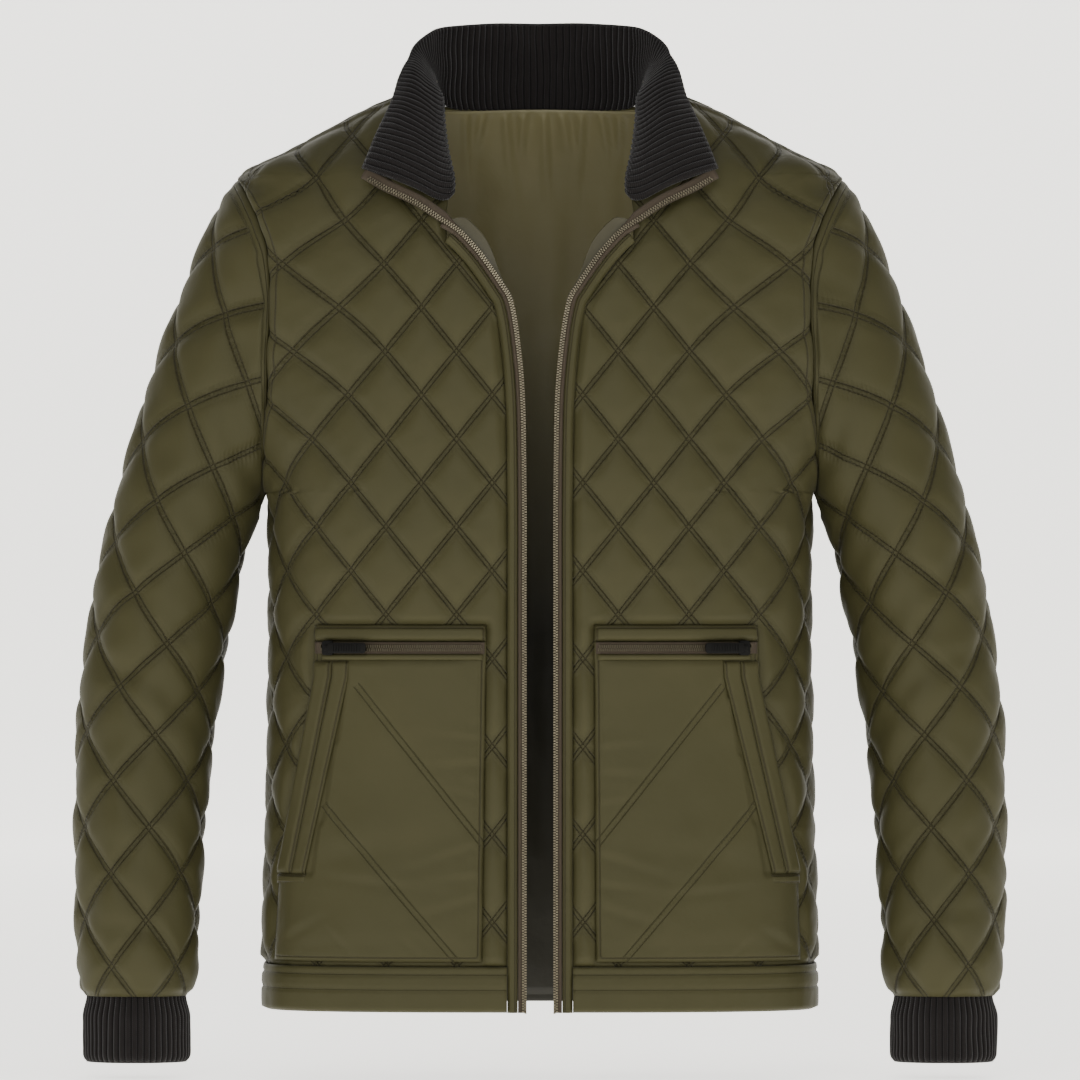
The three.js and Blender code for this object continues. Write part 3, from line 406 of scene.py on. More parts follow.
def stitches(s, across, along, pitch, spacing_mm=3.0):
    """Two rows of stitching beside a seam line: their dashes, and the line that they pull down."""
    half = spacing_mm / 2 / pitch
    lines, dashes = 0.0, 0.0
    for side in (-half, half):
        line = s.near(s.to_whole(across, side), 0.6 / pitch)
        step = s.math("SINE", s.math("MULTIPLY", along, 2 * math.pi * pitch / 2.4))
        dash = s.math("MULTIPLY", s.near(s.to_whole(across, side), 0.45 / pitch), s.math("GREATER_THAN", step, -0.35))
        lines = s.math("MAXIMUM", lines, line)
        dashes = s.math("MAXIMUM", dashes, dash)
    return lines, dashes


def woven_bump(s, strength=0.12, base=None):
    """The fine plain weave of the shell cloth, with a soft crumple over it."""
    place = s.object_place()
    weave = s.noise(place, 1800.0, 1.0)
    crumple = s.noise(place, 95.0, 4.0, 0.6)
    first = s.bump(crumple, 0.25, 0.0012, base)
    return s.bump(weave, strength, 0.0002, first)


def quilted_cloth():
    s = Shades("olive_quilting")
    _place, a, b = s.uv()
    lines_a, dashes_a = stitches(s, a, b, DIAGONAL_PITCH)
    lines_b, dashes_b = stitches(s, b, a, DIAGONAL_PITCH)
    lines = s.math("MAXIMUM", lines_a, lines_b)
    dashes = s.math("MAXIMUM", dashes_a, dashes_b)
    valley = s.math("MAXIMUM", s.near(s.to_whole(a), 0.12), s.near(s.to_whole(b), 0.12))
    _edge, beside, along = s.uv("edge")
    for place_mm in (2.2, 8.6):
        from_line = s.math("SUBTRACT", beside, place_mm)
        step = s.math("SINE", s.math("MULTIPLY", along, 2 * math.pi / 2.6))
        lines = s.math("MAXIMUM", lines, s.near(from_line, 0.7))
        dash = s.math("MULTIPLY", s.near(from_line, 0.45), s.math("GREATER_THAN", step, -0.3))
        dashes = s.math("MAXIMUM", dashes, dash)
    cloudy = s.noise(s.object_place(), 9.0, 3.0)
    base = s.mix(cloudy, OLIVE, OLIVE_LIGHT)
    # painted shade: the colour darkens in the groove beside each seam line, where shade falls
    dark = s.mix(s.math("MULTIPLY", valley, 0.18), base, OLIVE_SEAM_AND_GROOVE_SHADE)
    seam = s.mix(s.math("MULTIPLY", lines, 0.62), dark, OLIVE_SEAM_AND_GROOVE_SHADE)
    colour = s.mix(s.math("MULTIPLY", dashes, 0.5), seam, THREAD)
    dip = s.math("SUBTRACT", s.math("MULTIPLY", dashes, 0.35), lines)
    pucker_place = s.node("ShaderNodeMapping", {"Vector": s.object_place(), "Scale": (1.0, 1.0, 1.6)}).outputs[0]
    pucker = s.math("MULTIPLY", s.noise(pucker_place, 150.0, 2.0), s.math("MULTIPLY", valley, 1.3))
    normal = s.bump(dip, 0.9, 0.0009)
    normal = s.bump(pucker, 0.75, 0.002, normal)
    normal = woven_bump(s, 0.1, normal)
    return s.finish(colour, normal, roughness=0.58, sheen=0.02, specular=0.16)


def plain_cloth(name, light, dark, roughness=0.5, crumple=1.0, painted_shade=0.0):
    """A plain weave; its last argument is how far a painted shade darkens it from the neck down to the waist, standing
    in for the shadow inside the jacket.
    """
    s = Shades(name)
    cloudy = s.noise(s.object_place(), 14.0, 3.0)
    colour = s.mix(cloudy, dark, light)
    height = s.node("ShaderNodeSeparateXYZ", {"Vector": s.object_place()}).outputs[2]
    # painted shade: the colour darkens towards the waist, where the inside of the jacket lies in shadow
    down = s.math("DIVIDE", s.math("ADD", height, 0.08), -0.32, clamp=True)
    colour = s.mix(s.math("MULTIPLY", down, painted_shade), colour, tone(10, 9, 6))
    folds = s.noise(s.object_place(), 45.0, 3.0, 0.5)
    normal = woven_bump(s, 0.1, s.bump(folds, 0.25 * crumple, 0.003))
    return s.finish(colour, normal, roughness=roughness, sheen=0.04, specular=0.32)


def edged_cloth(name):
    """Shell cloth with stitching in from its edges; its UV is millimetres from two edges."""
    s = Shades(name)
    _place, u, v = s.uv()
    _edge, beside, _along = s.uv("edge")
    faint = s.near(s.math("SUBTRACT", beside, 2.2), 0.7)
    from_edge = s.math("SUBTRACT", u, 1.9)
    lines = s.math("MAXIMUM", 0.0, s.near(from_edge, 0.9))
    step = s.math("SINE", s.math("MULTIPLY", v, 2 * math.pi / 2.6))
    dash = s.math("MULTIPLY", s.near(from_edge, 0.5), s.math("GREATER_THAN", step, -0.35))
    dashes = s.math("MAXIMUM", 0.0, dash)
    cloudy = s.noise(s.object_place(), 11.0, 3.0)
    base = s.mix(cloudy, OLIVE, OLIVE_LIGHT)
    both = s.math("MAXIMUM", s.math("MULTIPLY", lines, 0.6), s.math("MULTIPLY", faint, 0.4))
    seam = s.mix(both, base, OLIVE_SEAM_AND_GROOVE_SHADE)
    colour = s.mix(s.math("MULTIPLY", dashes, 0.5), seam, THREAD)
    dip = s.math("SUBTRACT", s.math("MULTIPLY", dashes, 0.3), s.math("MAXIMUM", lines, faint))
    pucker = s.math("MULTIPLY", s.noise(s.object_place(), 130.0, 2.0), s.near(s.math("SUBTRACT", u, 2.0), 9.0))
    normal = s.bump(pucker, 0.4, 0.0015, s.bump(dip, 0.8, 0.0008))
    return s.finish(colour, woven_bump(s, 0.1, normal), roughness=0.58, sheen=0.02, specular=0.16)


def rib_knit():
    """Rib knit: UV is ribs across and millimetres along, with a small V of yarn at each stitch."""
    s = Shades("charcoal_rib")
    _place, u, v = s.uv()
    off = s.to_whole(u)
    side = s.math("ABSOLUTE", off)
    stitch = s.math("SINE", s.math("MULTIPLY", s.math("ADD", v, s.math("MULTIPLY", side, 2.4)), 2 * math.pi / 1.5))
    hollow = s.math("MULTIPLY", s.math("SUBTRACT", side, 0.28), 4.2, clamp=True)
    fuzz = s.noise(s.object_place(), 900.0, 3.0, 0.7)
    base = s.mix(fuzz, tone(22, 20, 20), tone(44, 41, 40))
    # painted shade: darker between the yarn loops of each stitch, and darkest in the hollows between the ribs
    stitch_shaded = s.mix(s.math("MULTIPLY", s.math("ADD", stitch, 1.0), 0.22), base, tone(15, 13, 13))
    colour = s.mix(s.math("MULTIPLY", hollow, 0.75), stitch_shaded, tone(9, 8, 8))
    height = s.math("SUBTRACT", s.math("MULTIPLY", stitch, 0.3), hollow)
    normal = s.bump(fuzz, 0.35, 0.0006, s.bump(height, 0.7, 0.0008))
    return s.finish(colour, normal, roughness=0.95, sheen=0.16, specular=0.08)


def zip_tape_cloth():
    s = Shades("zip_tape")
    set_to = {"Vector": s.object_place(), "Scale": 420.0, "Distortion": 1.5}
    weave = s.node("ShaderNodeTexWave", set_to, bands_direction="Z")
    colour = s.mix(weave.outputs[1], tone(36, 28, 17), tone(62, 50, 32))
    return s.finish(colour, s.bump(weave.outputs[1], 0.4, 0.0004), roughness=0.8)


def worn_metal(name, light, dark, roughness=0.35, metallic=0.9, specular=0.5):
    s = Shades(name)
    spots = s.noise(s.object_place(), 700.0, 3.0)
    colour = s.mix(spots, dark, light)
    rough = s.math("ADD", s.math("MULTIPLY", spots, 0.25), roughness)
    return s.finish(colour, s.bump(spots, 0.15, 0.0002), roughness=rough, metallic=metallic, specular=specular)


quilting = quilted_cloth()
# the lining's colour carries painted shade, darkening it from the neck down to the waist
lining_cloth = plain_cloth("satin_lining", tone(120, 114, 80), tone(104, 98, 68), 0.4, 0.6, 0.93)
facing_cloth = plain_cloth("facing_satin", tone(60, 56, 35), tone(50, 47, 29), 0.42)
shell_edged = edged_cloth("olive_stitched_edge")
knit = rib_knit()
shell_pocket = edged_cloth("olive_pocket")
tape_cloth = zip_tape_cloth()
dark_teeth = worn_metal("dark_teeth", tone(92, 86, 68), tone(46, 42, 33), 0.4, 0.8)
tooth_metal = worn_metal("antique_metal", tone(150, 142, 120), tone(38, 32, 22), 0.28)
black_metal = worn_metal("black_coated_metal", tone(17, 16, 14), tone(8, 8, 7), 0.5, 0.0, 0.12)


def quilt_grid(base, across, up, first_across, first_up, wide, tall, flat, seed, wrap=False):
    """The outer and inner points of a quilted wall over a smooth base, and its pattern's UV."""
    a, b = lattice(across, up, first_across, first_up, wide, tall)
    pitch = 1 / math.hypot(1 / (2 * wide), 1 / (2 * tall))
    normals = grid_normals(base, wrap)
    soft = lumps(across, up, seed)
    seam_wobble = lumps(across * 3, up * 3, seed + 50) * 0.35
    height = GROOVE + PUFF * pillow(a + soft * 0.004, b - soft * 0.004, pitch) * (1 + 0.16 * soft) * flat + seam_wobble
    outer = base + normals * height[..., None]
    inner = base + normals * INSIDE
    return outer, inner, np.stack([a, b], axis=-1)


# Lines of the cut, seen from the front
edge_table = np.array(FRONT_EDGE, dtype=float)


def spline(points, count):
    """Points along a Catmull-Rom curve, evenly placed in its parameter."""
    points = np.array(points, dtype=float)
    padded = np.vstack([2 * points[0] - points[1], points, 2 * points[-1] - points[-2]])
    at = np.linspace(0, len(points) - 1, count)
    i = np.minimum(at.astype(int), len(points) - 2)
    t = (at - i)[:, None]
    p0, p1, p2, p3 = (padded[i + k] for k in range(4))
    return 0.5 * (2 * p1 + (p2 - p0) * t + (2 * p0 - 5 * p1 + 4 * p2 - p3) * t**2 + (3 * p1 - p0 - 3 * p2 + p3) * t**3)


def even(points, count):
    """Points along a line again, evenly spaced by length."""
    length = np.concatenate([[0], np.cumsum(np.linalg.norm(np.diff(points, axis=0), axis=1))])
    at = np.linspace(0, length[-1], count)
    return np.stack([np.interp(at, length, points[:, k]) for k in range(points.shape[1])], axis=1)


edge_line = spline(edge_table, 1600)
edge_along = np.gradient(edge_line, axis=0)
edge_away = np.stack([-edge_along[:, 2], np.zeros(len(edge_line)), edge_along[:, 0]], axis=1)
edge_away /= np.linalg.norm(edge_away, axis=1, keepdims=True)
TAPE_INSET = TEETH_WIDE + GAP
PLACKET_INSET = TAPE_INSET + TAPE_WIDE + GAP
PANEL_INSET = PLACKET_INSET + PLACKET_WIDE + GAP
PLACKET_START = int(1600 * 3.8 / (len(FRONT_EDGE) - 1))


def beside_edge(inset):
    return edge_line + edge_away * inset


def inner_x(z):
    """How far from the middle the front panel starts at a height."""
    edge = beside_edge(PANEL_INSET)[PLACKET_START:]
    neck = np.array([NECK_SIDE, *NECK_FRONT], dtype=float)
    if z < edge[0, 2]:
        return float(np.interp(-z, -edge[:, 2], edge[:, 0]))
    return float(np.interp(-z, -neck[:, 1], neck[:, 0])) + 3


SEAM_PLAN = np.array([(0, -16), (80, -16), (194, -3), (205, 0), (300, 0)], dtype=float)


def sleeve_point(turn, run):
    ox, oz, ix, iz, depth, forward = sleeve_section(run)
    x = (ox + ix) / 2 + (ox - ix) / 2 * np.cos(turn)
    z = (oz + iz) / 2 + (oz - iz) / 2 * np.cos(turn)
    return np.stack([x, -forward - depth * np.sin(turn), z], axis=-1)


def sleeve_limit(z):
    """How far out the armhole seam, and the side of the body under it, lies at a height."""
    x = smooth_read(ARMHOLE, z, 1)
    return np.where(z < ARMHOLE_BOTTOM, 207.5, x) + 0.3


def sleeve_start(turns):
    """How far along the sleeve its first points lie, where it meets the armhole seam."""
    low, high = np.zeros(len(turns)), np.full(len(turns), SLEEVE_LENGTH)
    for _ in range(34):
        middle = (low + high) / 2
        p = sleeve_point(turns, middle)
        outside = p[:, 0] > sleeve_limit(p[:, 2])
        low, high = np.where(outside, low, middle), np.where(outside, middle, high)
    return high


ARMHOLE_FILL = 12.0  # how far cloth is lifted beside the armhole seam


def sleeve_base(turn, run, start):
    """The sleeve's smooth form, filled out beside the armhole."""
    base = sleeve_point(turn, run)
    beside = np.exp(-(((run - start) / 45) ** 2)) * ease(ARMHOLE_BOTTOM - 30, ARMHOLE_BOTTOM + 60, base[..., 2])
    base[..., 1] -= ARMHOLE_FILL * beside * (1 - ease(-75, -50, base[..., 2])) * np.sin(turn)
    return base


seam_turns = np.linspace(0, np.pi, 121)
ARMHOLE_SEAM = {}  # points of the armhole seam, lowest first, on the front (-1) and the back (1)
for facing_way in (-1, 1):
    starts = sleeve_start(seam_turns * -facing_way)
    seam_points = sleeve_base(seam_turns * -facing_way, starts, starts)
    ARMHOLE_SEAM[facing_way] = seam_points[np.argsort(seam_points[:, 2])]


def outer_across(z, facing):
    """How far across a panel reaches at a height: to the side seam, the armhole or the shoulder."""
    rx, ry, so_far = ring(z)
    half = RING_STEPS // 2
    if ARMHOLE_BOTTOM < z < ARMHOLE_TOP:
        seam = ARMHOLE_SEAM[facing]
        seam_y = min(abs(float(np.interp(z, seam[:, 2], seam[:, 1]))), 0.93 * abs(ry[0]))
        return min(across_at_seam(z, -seam_y), float(so_far[half]))
    seam_y = np.interp(rx, SEAM_PLAN[:, 0], SEAM_PLAN[:, 1])
    beyond = ry > seam_y if facing < 0 else -ry < seam_y
    if facing < 0:
        return float(so_far[np.argmax(beyond)]) - 0.3
    before_seam = np.argmax(beyond)
    return float(so_far[before_seam]) - 0.3


def pocket_edge(name, z):
    """A pocket's outer edge at a height, from the middle."""
    p = POCKETS[name]
    heights = [POCKET_BOTTOM, POCKET_WIDE_AT, POCKET_CORNER, POCKET_TOP]
    return np.interp(z, heights, [p["low_outer"], p["wide"], p["corner"], p["top_outer"]])


def pocket_inner(name, z):
    p = POCKETS[name]
    return np.interp(z, [POCKET_BOTTOM, POCKET_TOP], [p["low_inner"], p["top_inner"]])


def under_pocket(name, x, z):
    """1 under a pocket, 0 beyond its edges."""
    x = np.abs(x)
    from_edges = np.minimum(x - pocket_inner(name, z), pocket_edge(name, z) - x)
    from_ends = np.minimum(POCKET_TOP - z, z - POCKET_BOTTOM)
    return ease(-5.0, 1.0, np.minimum(from_edges, from_ends))


panel_heights = np.concatenate([np.arange(-646.7, -60, FINE), np.arange(-60, 17.6, FINE / 2)])


def front_panel(name, side):
    shift = 0.0 if side > 0 else 3.75
    count = 84
    rows, acrosses, ups = [], [], []
    for z in panel_heights:
        start = across_at(inner_x(z), z)
        end = max(outer_across(z, -1), start + 0.4)
        across = np.linspace(start, end, count) * side
        rows.append(body_row(across, z, -1))
        acrosses.append(across)
        ups.append(np.full(count, z))
    base, across, up = np.array(rows), np.array(acrosses), np.array(ups)
    covered = under_pocket(name, base[..., 0], base[..., 2])
    edge = ease(0.0, 7.0, (np.abs(across) - np.abs(across[:, :1])))
    foot = ease(0.0, 6.0, up - panel_heights[0])
    base, to_seam = armhole_fill(base, across, -1)
    flat = edge * foot * seam_flat(to_seam, up)
    first = (FRONT_FIRST_COLUMN + shift) * side
    outer, inner, pattern = quilt_grid(
        base, across, up, first, FIRST_ROW, HALF_WIDE, HALF_TALL, flat, 11 if side > 0 else 12
    )
    topstitch = np.stack([np.where(up > ARMHOLE_BOTTOM - 4, to_seam, 99.0), up], axis=-1)
    pattern = np.concatenate([pattern, topstitch], axis=-1)
    normals = grid_normals(base)
    if side < 0:
        outer = base - (outer - base)
        inner = base - (inner - base)
        normals = -normals
    reach = np.sum((outer - base) * normals, axis=-1) + seam_ridge(to_seam, up)
    outer = base + normals * (reach * (1 - covered) - 3.6 * covered)[..., None]
    return cloth(
        f"front_panel_{name}", outer, inner, pattern, [quilting, lining_cloth],
        replaces=[f"front_{name}"], slot="shell",
    )


def armhole_fill(base, across, facing):
    """The panel's side lifted beside the armhole, and how far each point is from the panel's outer edge."""
    to_seam = np.abs(across[:, -1:]) - np.abs(across)
    if across[0, 0] < 0 < across[0, -1]:
        to_seam = np.minimum(to_seam, np.abs(across[:, :1]) - np.abs(across))
    seam = ARMHOLE_SEAM[facing]
    z = base[..., 2]
    inside = ease(ARMHOLE_BOTTOM - 6, ARMHOLE_BOTTOM + 22, z) * (1 - ease(ARMHOLE_TOP - 3, ARMHOLE_TOP, z))
    near = inside * np.exp(-((to_seam / 38) ** 2))
    half = base.shape[1] // 2
    moved = base.copy()
    for end, columns in ((-1, slice(half, None)), (0, slice(0, half))):
        if end == 0 and across[0, 0] * across[0, -1] > 0:
            columns, end = slice(0, half), -1
        way = np.sign(base[:1, end, 0])
        edge = base[:, end : end + 1 or None]
        target_x = (np.interp(edge[..., 2], seam[:, 2], seam[:, 0]) + 3.6) * way
        target_y = np.interp(edge[..., 2], seam[:, 2], seam[:, 1])
        moved[:, columns, 0] += (target_x - edge[..., 0]) * near[:, columns]
        moved[:, columns, 1] += (target_y - edge[..., 1]) * near[:, columns]
    return moved, to_seam


def seam_flat(to_seam, z):
    """Lower quilting beside the armhole seam, and more so beside the shoulder seam."""
    armhole = 0.75 * ease(ARMHOLE_BOTTOM - 10, ARMHOLE_BOTTOM + 10, z) * (1 - ease(0.0, 13.0, to_seam))
    shoulder = 0.85 * ease(-85, -60, z) * (1 - ease(6.0, 42.0, to_seam))
    return 1 - np.maximum(armhole, shoulder)


def seam_ridge(to_seam, z):
    """The turned-in cloth that stands beside the armhole seam."""
    beside = ease(0.0, 3.5, to_seam) * (1 - ease(8.0, 15.0, to_seam))
    tucked = (1 - ease(0.0, 4.5, to_seam)) * (1 - ease(ARMHOLE_TOP - 6, ARMHOLE_TOP, z))
    return (1.9 * beside - 3.2 * tucked) * ease(ARMHOLE_BOTTOM - 10, ARMHOLE_BOTTOM + 10, z)


def neck_x(z):
    """How far from the middle the back's neckline lies at a height above it."""
    line = np.array([*NECK_BACK, NECK_SIDE], dtype=float)
    return float(np.interp(z, [0.0, *line[1:, 1]], [0.0, *line[1:, 0]]))


def back_top(share, reach):
    """The height where a column of the back meets the neckline."""
    low, high = 0.0, float(NECK_SIDE[1]) - 0.4
    for _ in range(20):
        middle = (low + high) / 2
        if abs(share) * float(np.interp(middle, reach[0], reach[1])) > neck_x(middle):
            low = middle
        else:
            high = middle
    return min(low, high) - 0.8


def back_panel():
    count = 172
    shares = np.linspace(-1, 1, count)
    heights = np.linspace(0, NECK_SIDE[1], 40)
    reach = heights, np.array([ring(z)[0][RING_STEPS // 2] for z in heights])
    tops = np.array([back_top(share, reach) for share in shares])
    low_rows = panel_heights[panel_heights < -60]
    rise = np.linspace(0, 1, 46)[:, None]
    top_rows = low_rows[-1] + (tops[None, :] - low_rows[-1]) * rise[1:]
    up = np.vstack([np.repeat(low_rows[:, None], count, axis=1), top_rows])
    base, across = np.zeros((*up.shape, 3)), np.zeros(up.shape)
    for j in range(len(up)):
        if j < len(low_rows):
            across[j] = shares * outer_across(up[j, 0], 1)
            base[j] = body_row(across[j], up[j, 0], 1)
        else:
            for i in range(count):
                across[j, i] = shares[i] * outer_across(up[j, i], 1)
                base[j, i] = body_row(across[j, i : i + 1], up[j, i], 1)[0]
    foot = ease(0.0, 6.0, up - panel_heights[0])
    base, to_seam = armhole_fill(base, across, 1)
    foot = foot * seam_flat(to_seam, up) * (0.3 + 0.7 * ease(0, 8, tops[None, :] - up))
    outer, inner, pattern = quilt_grid(base, across, up, 0.0, FIRST_ROW, HALF_WIDE, HALF_TALL, foot, 13)
    outer = base - (outer - base)
    inner = base - (inner - base)
    outer = outer - grid_normals(base) * seam_ridge(to_seam, up)[..., None]
    topstitch = np.stack([np.where(up > ARMHOLE_BOTTOM - 4, to_seam, 99.0), up], axis=-1)
    pattern = np.concatenate([pattern, topstitch], axis=-1)
    return cloth("back_panel", outer, inner, pattern, [quilting, lining_cloth], replaces=["back"], slot="shell")


def sleeve_panel(name, side):
    count = 132
    turns = np.linspace(0, 2 * np.pi, count + 1) + math.radians(SLEEVE_FIRST_ANGLE)
    start = sleeve_start(turns)
    rows_count = int(SLEEVE_LENGTH / FINE)
    share = np.linspace(0, 1, rows_count)[:, None]
    run = start + (SLEEVE_LENGTH - 0.4 - start) * share
    turn = np.repeat(turns[None, :], rows_count, axis=0)
    base = sleeve_base(turn, run, start)
    base[..., 0] *= side
    normals = grid_normals(base, wrap=True)
    out = sleeve_point(turn, run) - sleeve_point(turn + np.pi, run)
    out[..., 0] *= side
    flip = np.sign(np.sum(normals * out, axis=-1).mean())
    normals = normals * flip
    lowest = SLEEVE_TABLE[SLEEVE[:, 1] == -648][0, 0]
    columns = (turn - math.radians(SLEEVE_FIRST_ANGLE)) / (2 * np.pi) * SLEEVE_COLUMNS
    along = (run - lowest) / SLEEVE_HALF_TALL
    a, b = (columns + along) / 2, (columns - along) / 2
    from_seam = run - start
    strip = ease(9.0, 18.0, from_seam)
    tail = ease(0.0, 7.0, SLEEVE_LENGTH - run)
    soft = lumps(np.cos(turn) * 58 + run * 0.31, np.sin(turn) * 58 + run * 0.95, 21 if side > 0 else 22)
    pitch = 48.5
    pads = SLEEVE_PUFF * pillow(a, b, pitch) * (1 + 0.18 * soft) * strip * tail
    folds = lumps(np.cos(turn) * 125 + run * 0.2, np.sin(turn) * 125 + run * 0.5, 31)
    wrinkles = (1 - strip) * (0.9 * folds + 2.4 * ease(0, 4, from_seam))
    height = GROOVE + 0.4 * soft + pads + wrinkles + creases(turn, run, side)
    outer = base + normals * height[..., None]
    inner = base + normals * INSIDE
    hidden = np.where(from_seam < 13.0, 0.5, a), np.where(from_seam < 13.0, 0.5, b)
    pattern = np.stack([*hidden, from_seam + 1.5, turn * 60], axis=-1)
    return cloth(
        f"sleeve_panel_{name}", outer, inner, pattern, [quilting, lining_cloth], closed=True,
        replaces=[f"sleeve_{name}"], slot="shell",
    )


# Soft creases of a sleeve that hangs: turn in degrees, run, half length, half width, slope, depth
SLEEVE_CREASES = [
    (60, 300, 46, 13, 0.5, 1.9), (115, 330, 52, 14, -0.6, 2.0), (75, 372, 44, 12, 0.35, 1.6),
    (250, 310, 50, 13, 0.5, 1.9), (290, 350, 46, 12, -0.5, 1.7), (100, 60, 56, 12, -0.9, 2.0),
    (70, 95, 52, 12, -0.8, 1.7), (265, 80, 56, 13, 0.9, 1.9), (90, 560, 40, 11, 0.3, 1.5),
    (200, 575, 40, 11, -0.3, 1.4), (330, 565, 40, 11, 0.3, 1.4), (140, 200, 50, 12, 0.6, 1.5),
]


def creases(turn, run, side):
    total = np.zeros_like(run)
    for angle, at, long, wide, slope, deep in SLEEVE_CREASES:
        away = np.degrees(turn) - angle
        away = (away + 180) % 360 - 180
        x, y = away * 1.05, run - at - (12 if side < 0 else 0)
        along = (x + y * slope) / math.hypot(1, slope)
        over = (y - x * slope) / math.hypot(1, slope)
        bend = over + 4 * np.sin(along / 17 + at)
        fade = np.exp(-((along / long) ** 2))
        total += deep * fade * (0.6 * np.exp(-(((bend - wide) / wide) ** 2)) - np.exp(-((bend / (wide * 0.7)) ** 2)))
    return total


for panel_name, panel_side in (("left", 1), ("right", -1)):
    front_panel(panel_name, panel_side)
    sleeve_panel(panel_name, panel_side)
back_panel()


# The collar
def smooth_line(points, count=1200):
    return even(spline(points, count), count)


def body_point(x, z, facing):
    side, depth, power = section(z)
    return (x, facing * depth * (1 - min(abs(x) / side, 1) ** power) ** (1 / power), z)


def body_normals(points):
    """Outward normals of the body at points on it."""
    x, y, z = points[..., 0], points[..., 1], points[..., 2]

    def field(px, py, pz):
        side, depth, power = section(pz)
        return (np.abs(px / side) ** power + np.abs(py / depth) ** power) ** (1 / power)

    e = 0.4
    normal = np.stack([
        field(x + e, y, z) - field(x - e, y, z),
        field(x, y + e, z) - field(x, y - e, z),
        field(x, y, z + e) - field(x, y, z - e),
    ], axis=-1)
    return normal / np.linalg.norm(normal, axis=-1, keepdims=True)


seam_line = smooth_line(
    [body_point(x, z, 1) for x, z in NECK_BACK] + [(NECK_SIDE[0], 0, NECK_SIDE[1])]
    + [body_point(x, z, -1) for x, z in NECK_FRONT]
)
free_line = smooth_line(COLLAR_EDGE)
seam_normals = body_normals(seam_line)


def read_line(line, share):
    at = np.clip(share, 0, 1) * (len(line) - 1)
    return np.stack([np.interp(at, np.arange(len(line)), line[:, k]) for k in range(3)], axis=-1)


def collar_point(side_share, up):
    """The collar's middle surface: round from -1 to 1 over the back, up from 0 at the neck seam to 1."""
    place = np.abs(side_share)
    seam, edge = read_line(seam_line, place), read_line(free_line, place)
    roll = (COLLAR_ROLL * ease(0.3, 0.85, place))[..., None]
    bow = (seam + edge) / 2 + read_line(seam_normals, place) * roll
    up = up[..., None]
    point = seam * (1 - up) ** 2 + bow * 2 * up * (1 - up) + edge * up * up
    point[..., 0] *= np.where(side_share < 0, -1, 1)
    return point


def rib(value, rise):
    """A round rib between narrow valleys, one to each whole number."""
    return rise * (1 - np.abs(2 * (value - np.round(value))) ** 2.2)


def collar_piece():
    per_rib, rows = 6, 27
    columns = COLLAR_RIBS * per_rib
    share = np.linspace(-1, 1, columns + 1)[None, :]
    share, up = np.broadcast_arrays(share, np.linspace(0.0, 1, rows)[:, None])
    tucked = 0.07 * (1 - ease(0.3, 0.5, np.abs(share)))
    up = up * (1 + tucked) - tucked
    place = share * COLLAR_RIBS / 2
    wander = 0.22 * lumps(place * 9, up * 70, 41) * ease(0.0, 0.3, up)
    corner = np.sqrt(1 - np.clip(1 - up / 0.24, 0, 1) ** 2)
    base = collar_point((share + wander * 2 / COLLAR_RIBS) * (1 - 0.04 * (1 - corner)), up)
    normals = grid_normals(base)
    if normals[rows // 2, columns // 2, 1] < 0:
        normals = -normals
    soft = 1.0 * lumps(place * 5, up * 60, 42) * ease(0.05, 0.5, up) * np.minimum(1, (1 - np.abs(share)) * 12)
    wave = 1.4 * np.sin(place * 0.42 + 2 * up) * ease(0.3, 1.0, up) * (1 - ease(0.75, 0.95, np.abs(share)))
    rounding = np.sqrt(np.clip(1 - (np.clip(up - 0.955, 0, 1) / 0.05) ** 2, 0.02, 1))
    half = (0.9 + rib(place, 1.25)) * rounding
    shift = soft + wave
    outer = base + normals * (shift + half)[..., None]
    inner = base + normals * (shift - half)[..., None]
    pattern = np.stack([place, up * 72], axis=-1)
    return cloth("rib_collar", outer, inner, pattern, [knit], replaces=["collar"], slot="rib_knit")


def cuff_piece(name, side):
    ox, oz, ix, iz, depth, forward = sleeve_section(SLEEVE_LENGTH)
    per_rib = 6
    count = CUFF_RIBS * per_rib
    angle = np.linspace(0, 2 * np.pi, count + 1)[None, :]
    down = np.linspace(0, 1, 22)[:, None]
    angle, down = np.broadcast_arrays(angle, down)
    z = CUFF_TOP + 2.5 + (CUFF_BOTTOM - CUFF_TOP - 2.5) * down
    grow = -2.5 + 3.5 * ease(0, 0.35, down) - 1.6 * ease(0.85, 1.0, down) ** 2
    place = angle / (2 * np.pi) * CUFF_RIBS
    slow = 0.9 * lumps(np.cos(angle) * 50, z + np.sin(angle) * 30, 43 if side > 0 else 44)

    def layer(lift):
        reach = grow + lift + slow
        x = (ox + ix) / 2 + ((ox - ix) / 2 - 1.5 + reach) * np.cos(angle)
        return np.stack([x * side, -forward - (depth - 3 + reach) * np.sin(angle), z], axis=-1)

    rim = np.sqrt(np.clip(1 - (np.clip(down - 0.93, 0, 1) / 0.075) ** 2, 0.05, 1))
    outer = layer(-1.2 + (0.3 + rib(place, 1.3) + 0.8) * rim)
    inner = layer(-1.2 - (0.9 + rib(place, 0.4)) * rim)
    pattern = np.stack([place, down * 50], axis=-1)
    return cloth(
        f"rib_cuff_{name}", outer, inner, pattern, [knit], closed=True, replaces=[f"cuff_{name}"], slot="rib_knit"
    )


# Strips and bands
edge_normals = body_normals(np.column_stack([edge_line[:, 0], np.minimum(edge_line[:, 1], -20), edge_line[:, 2]]))


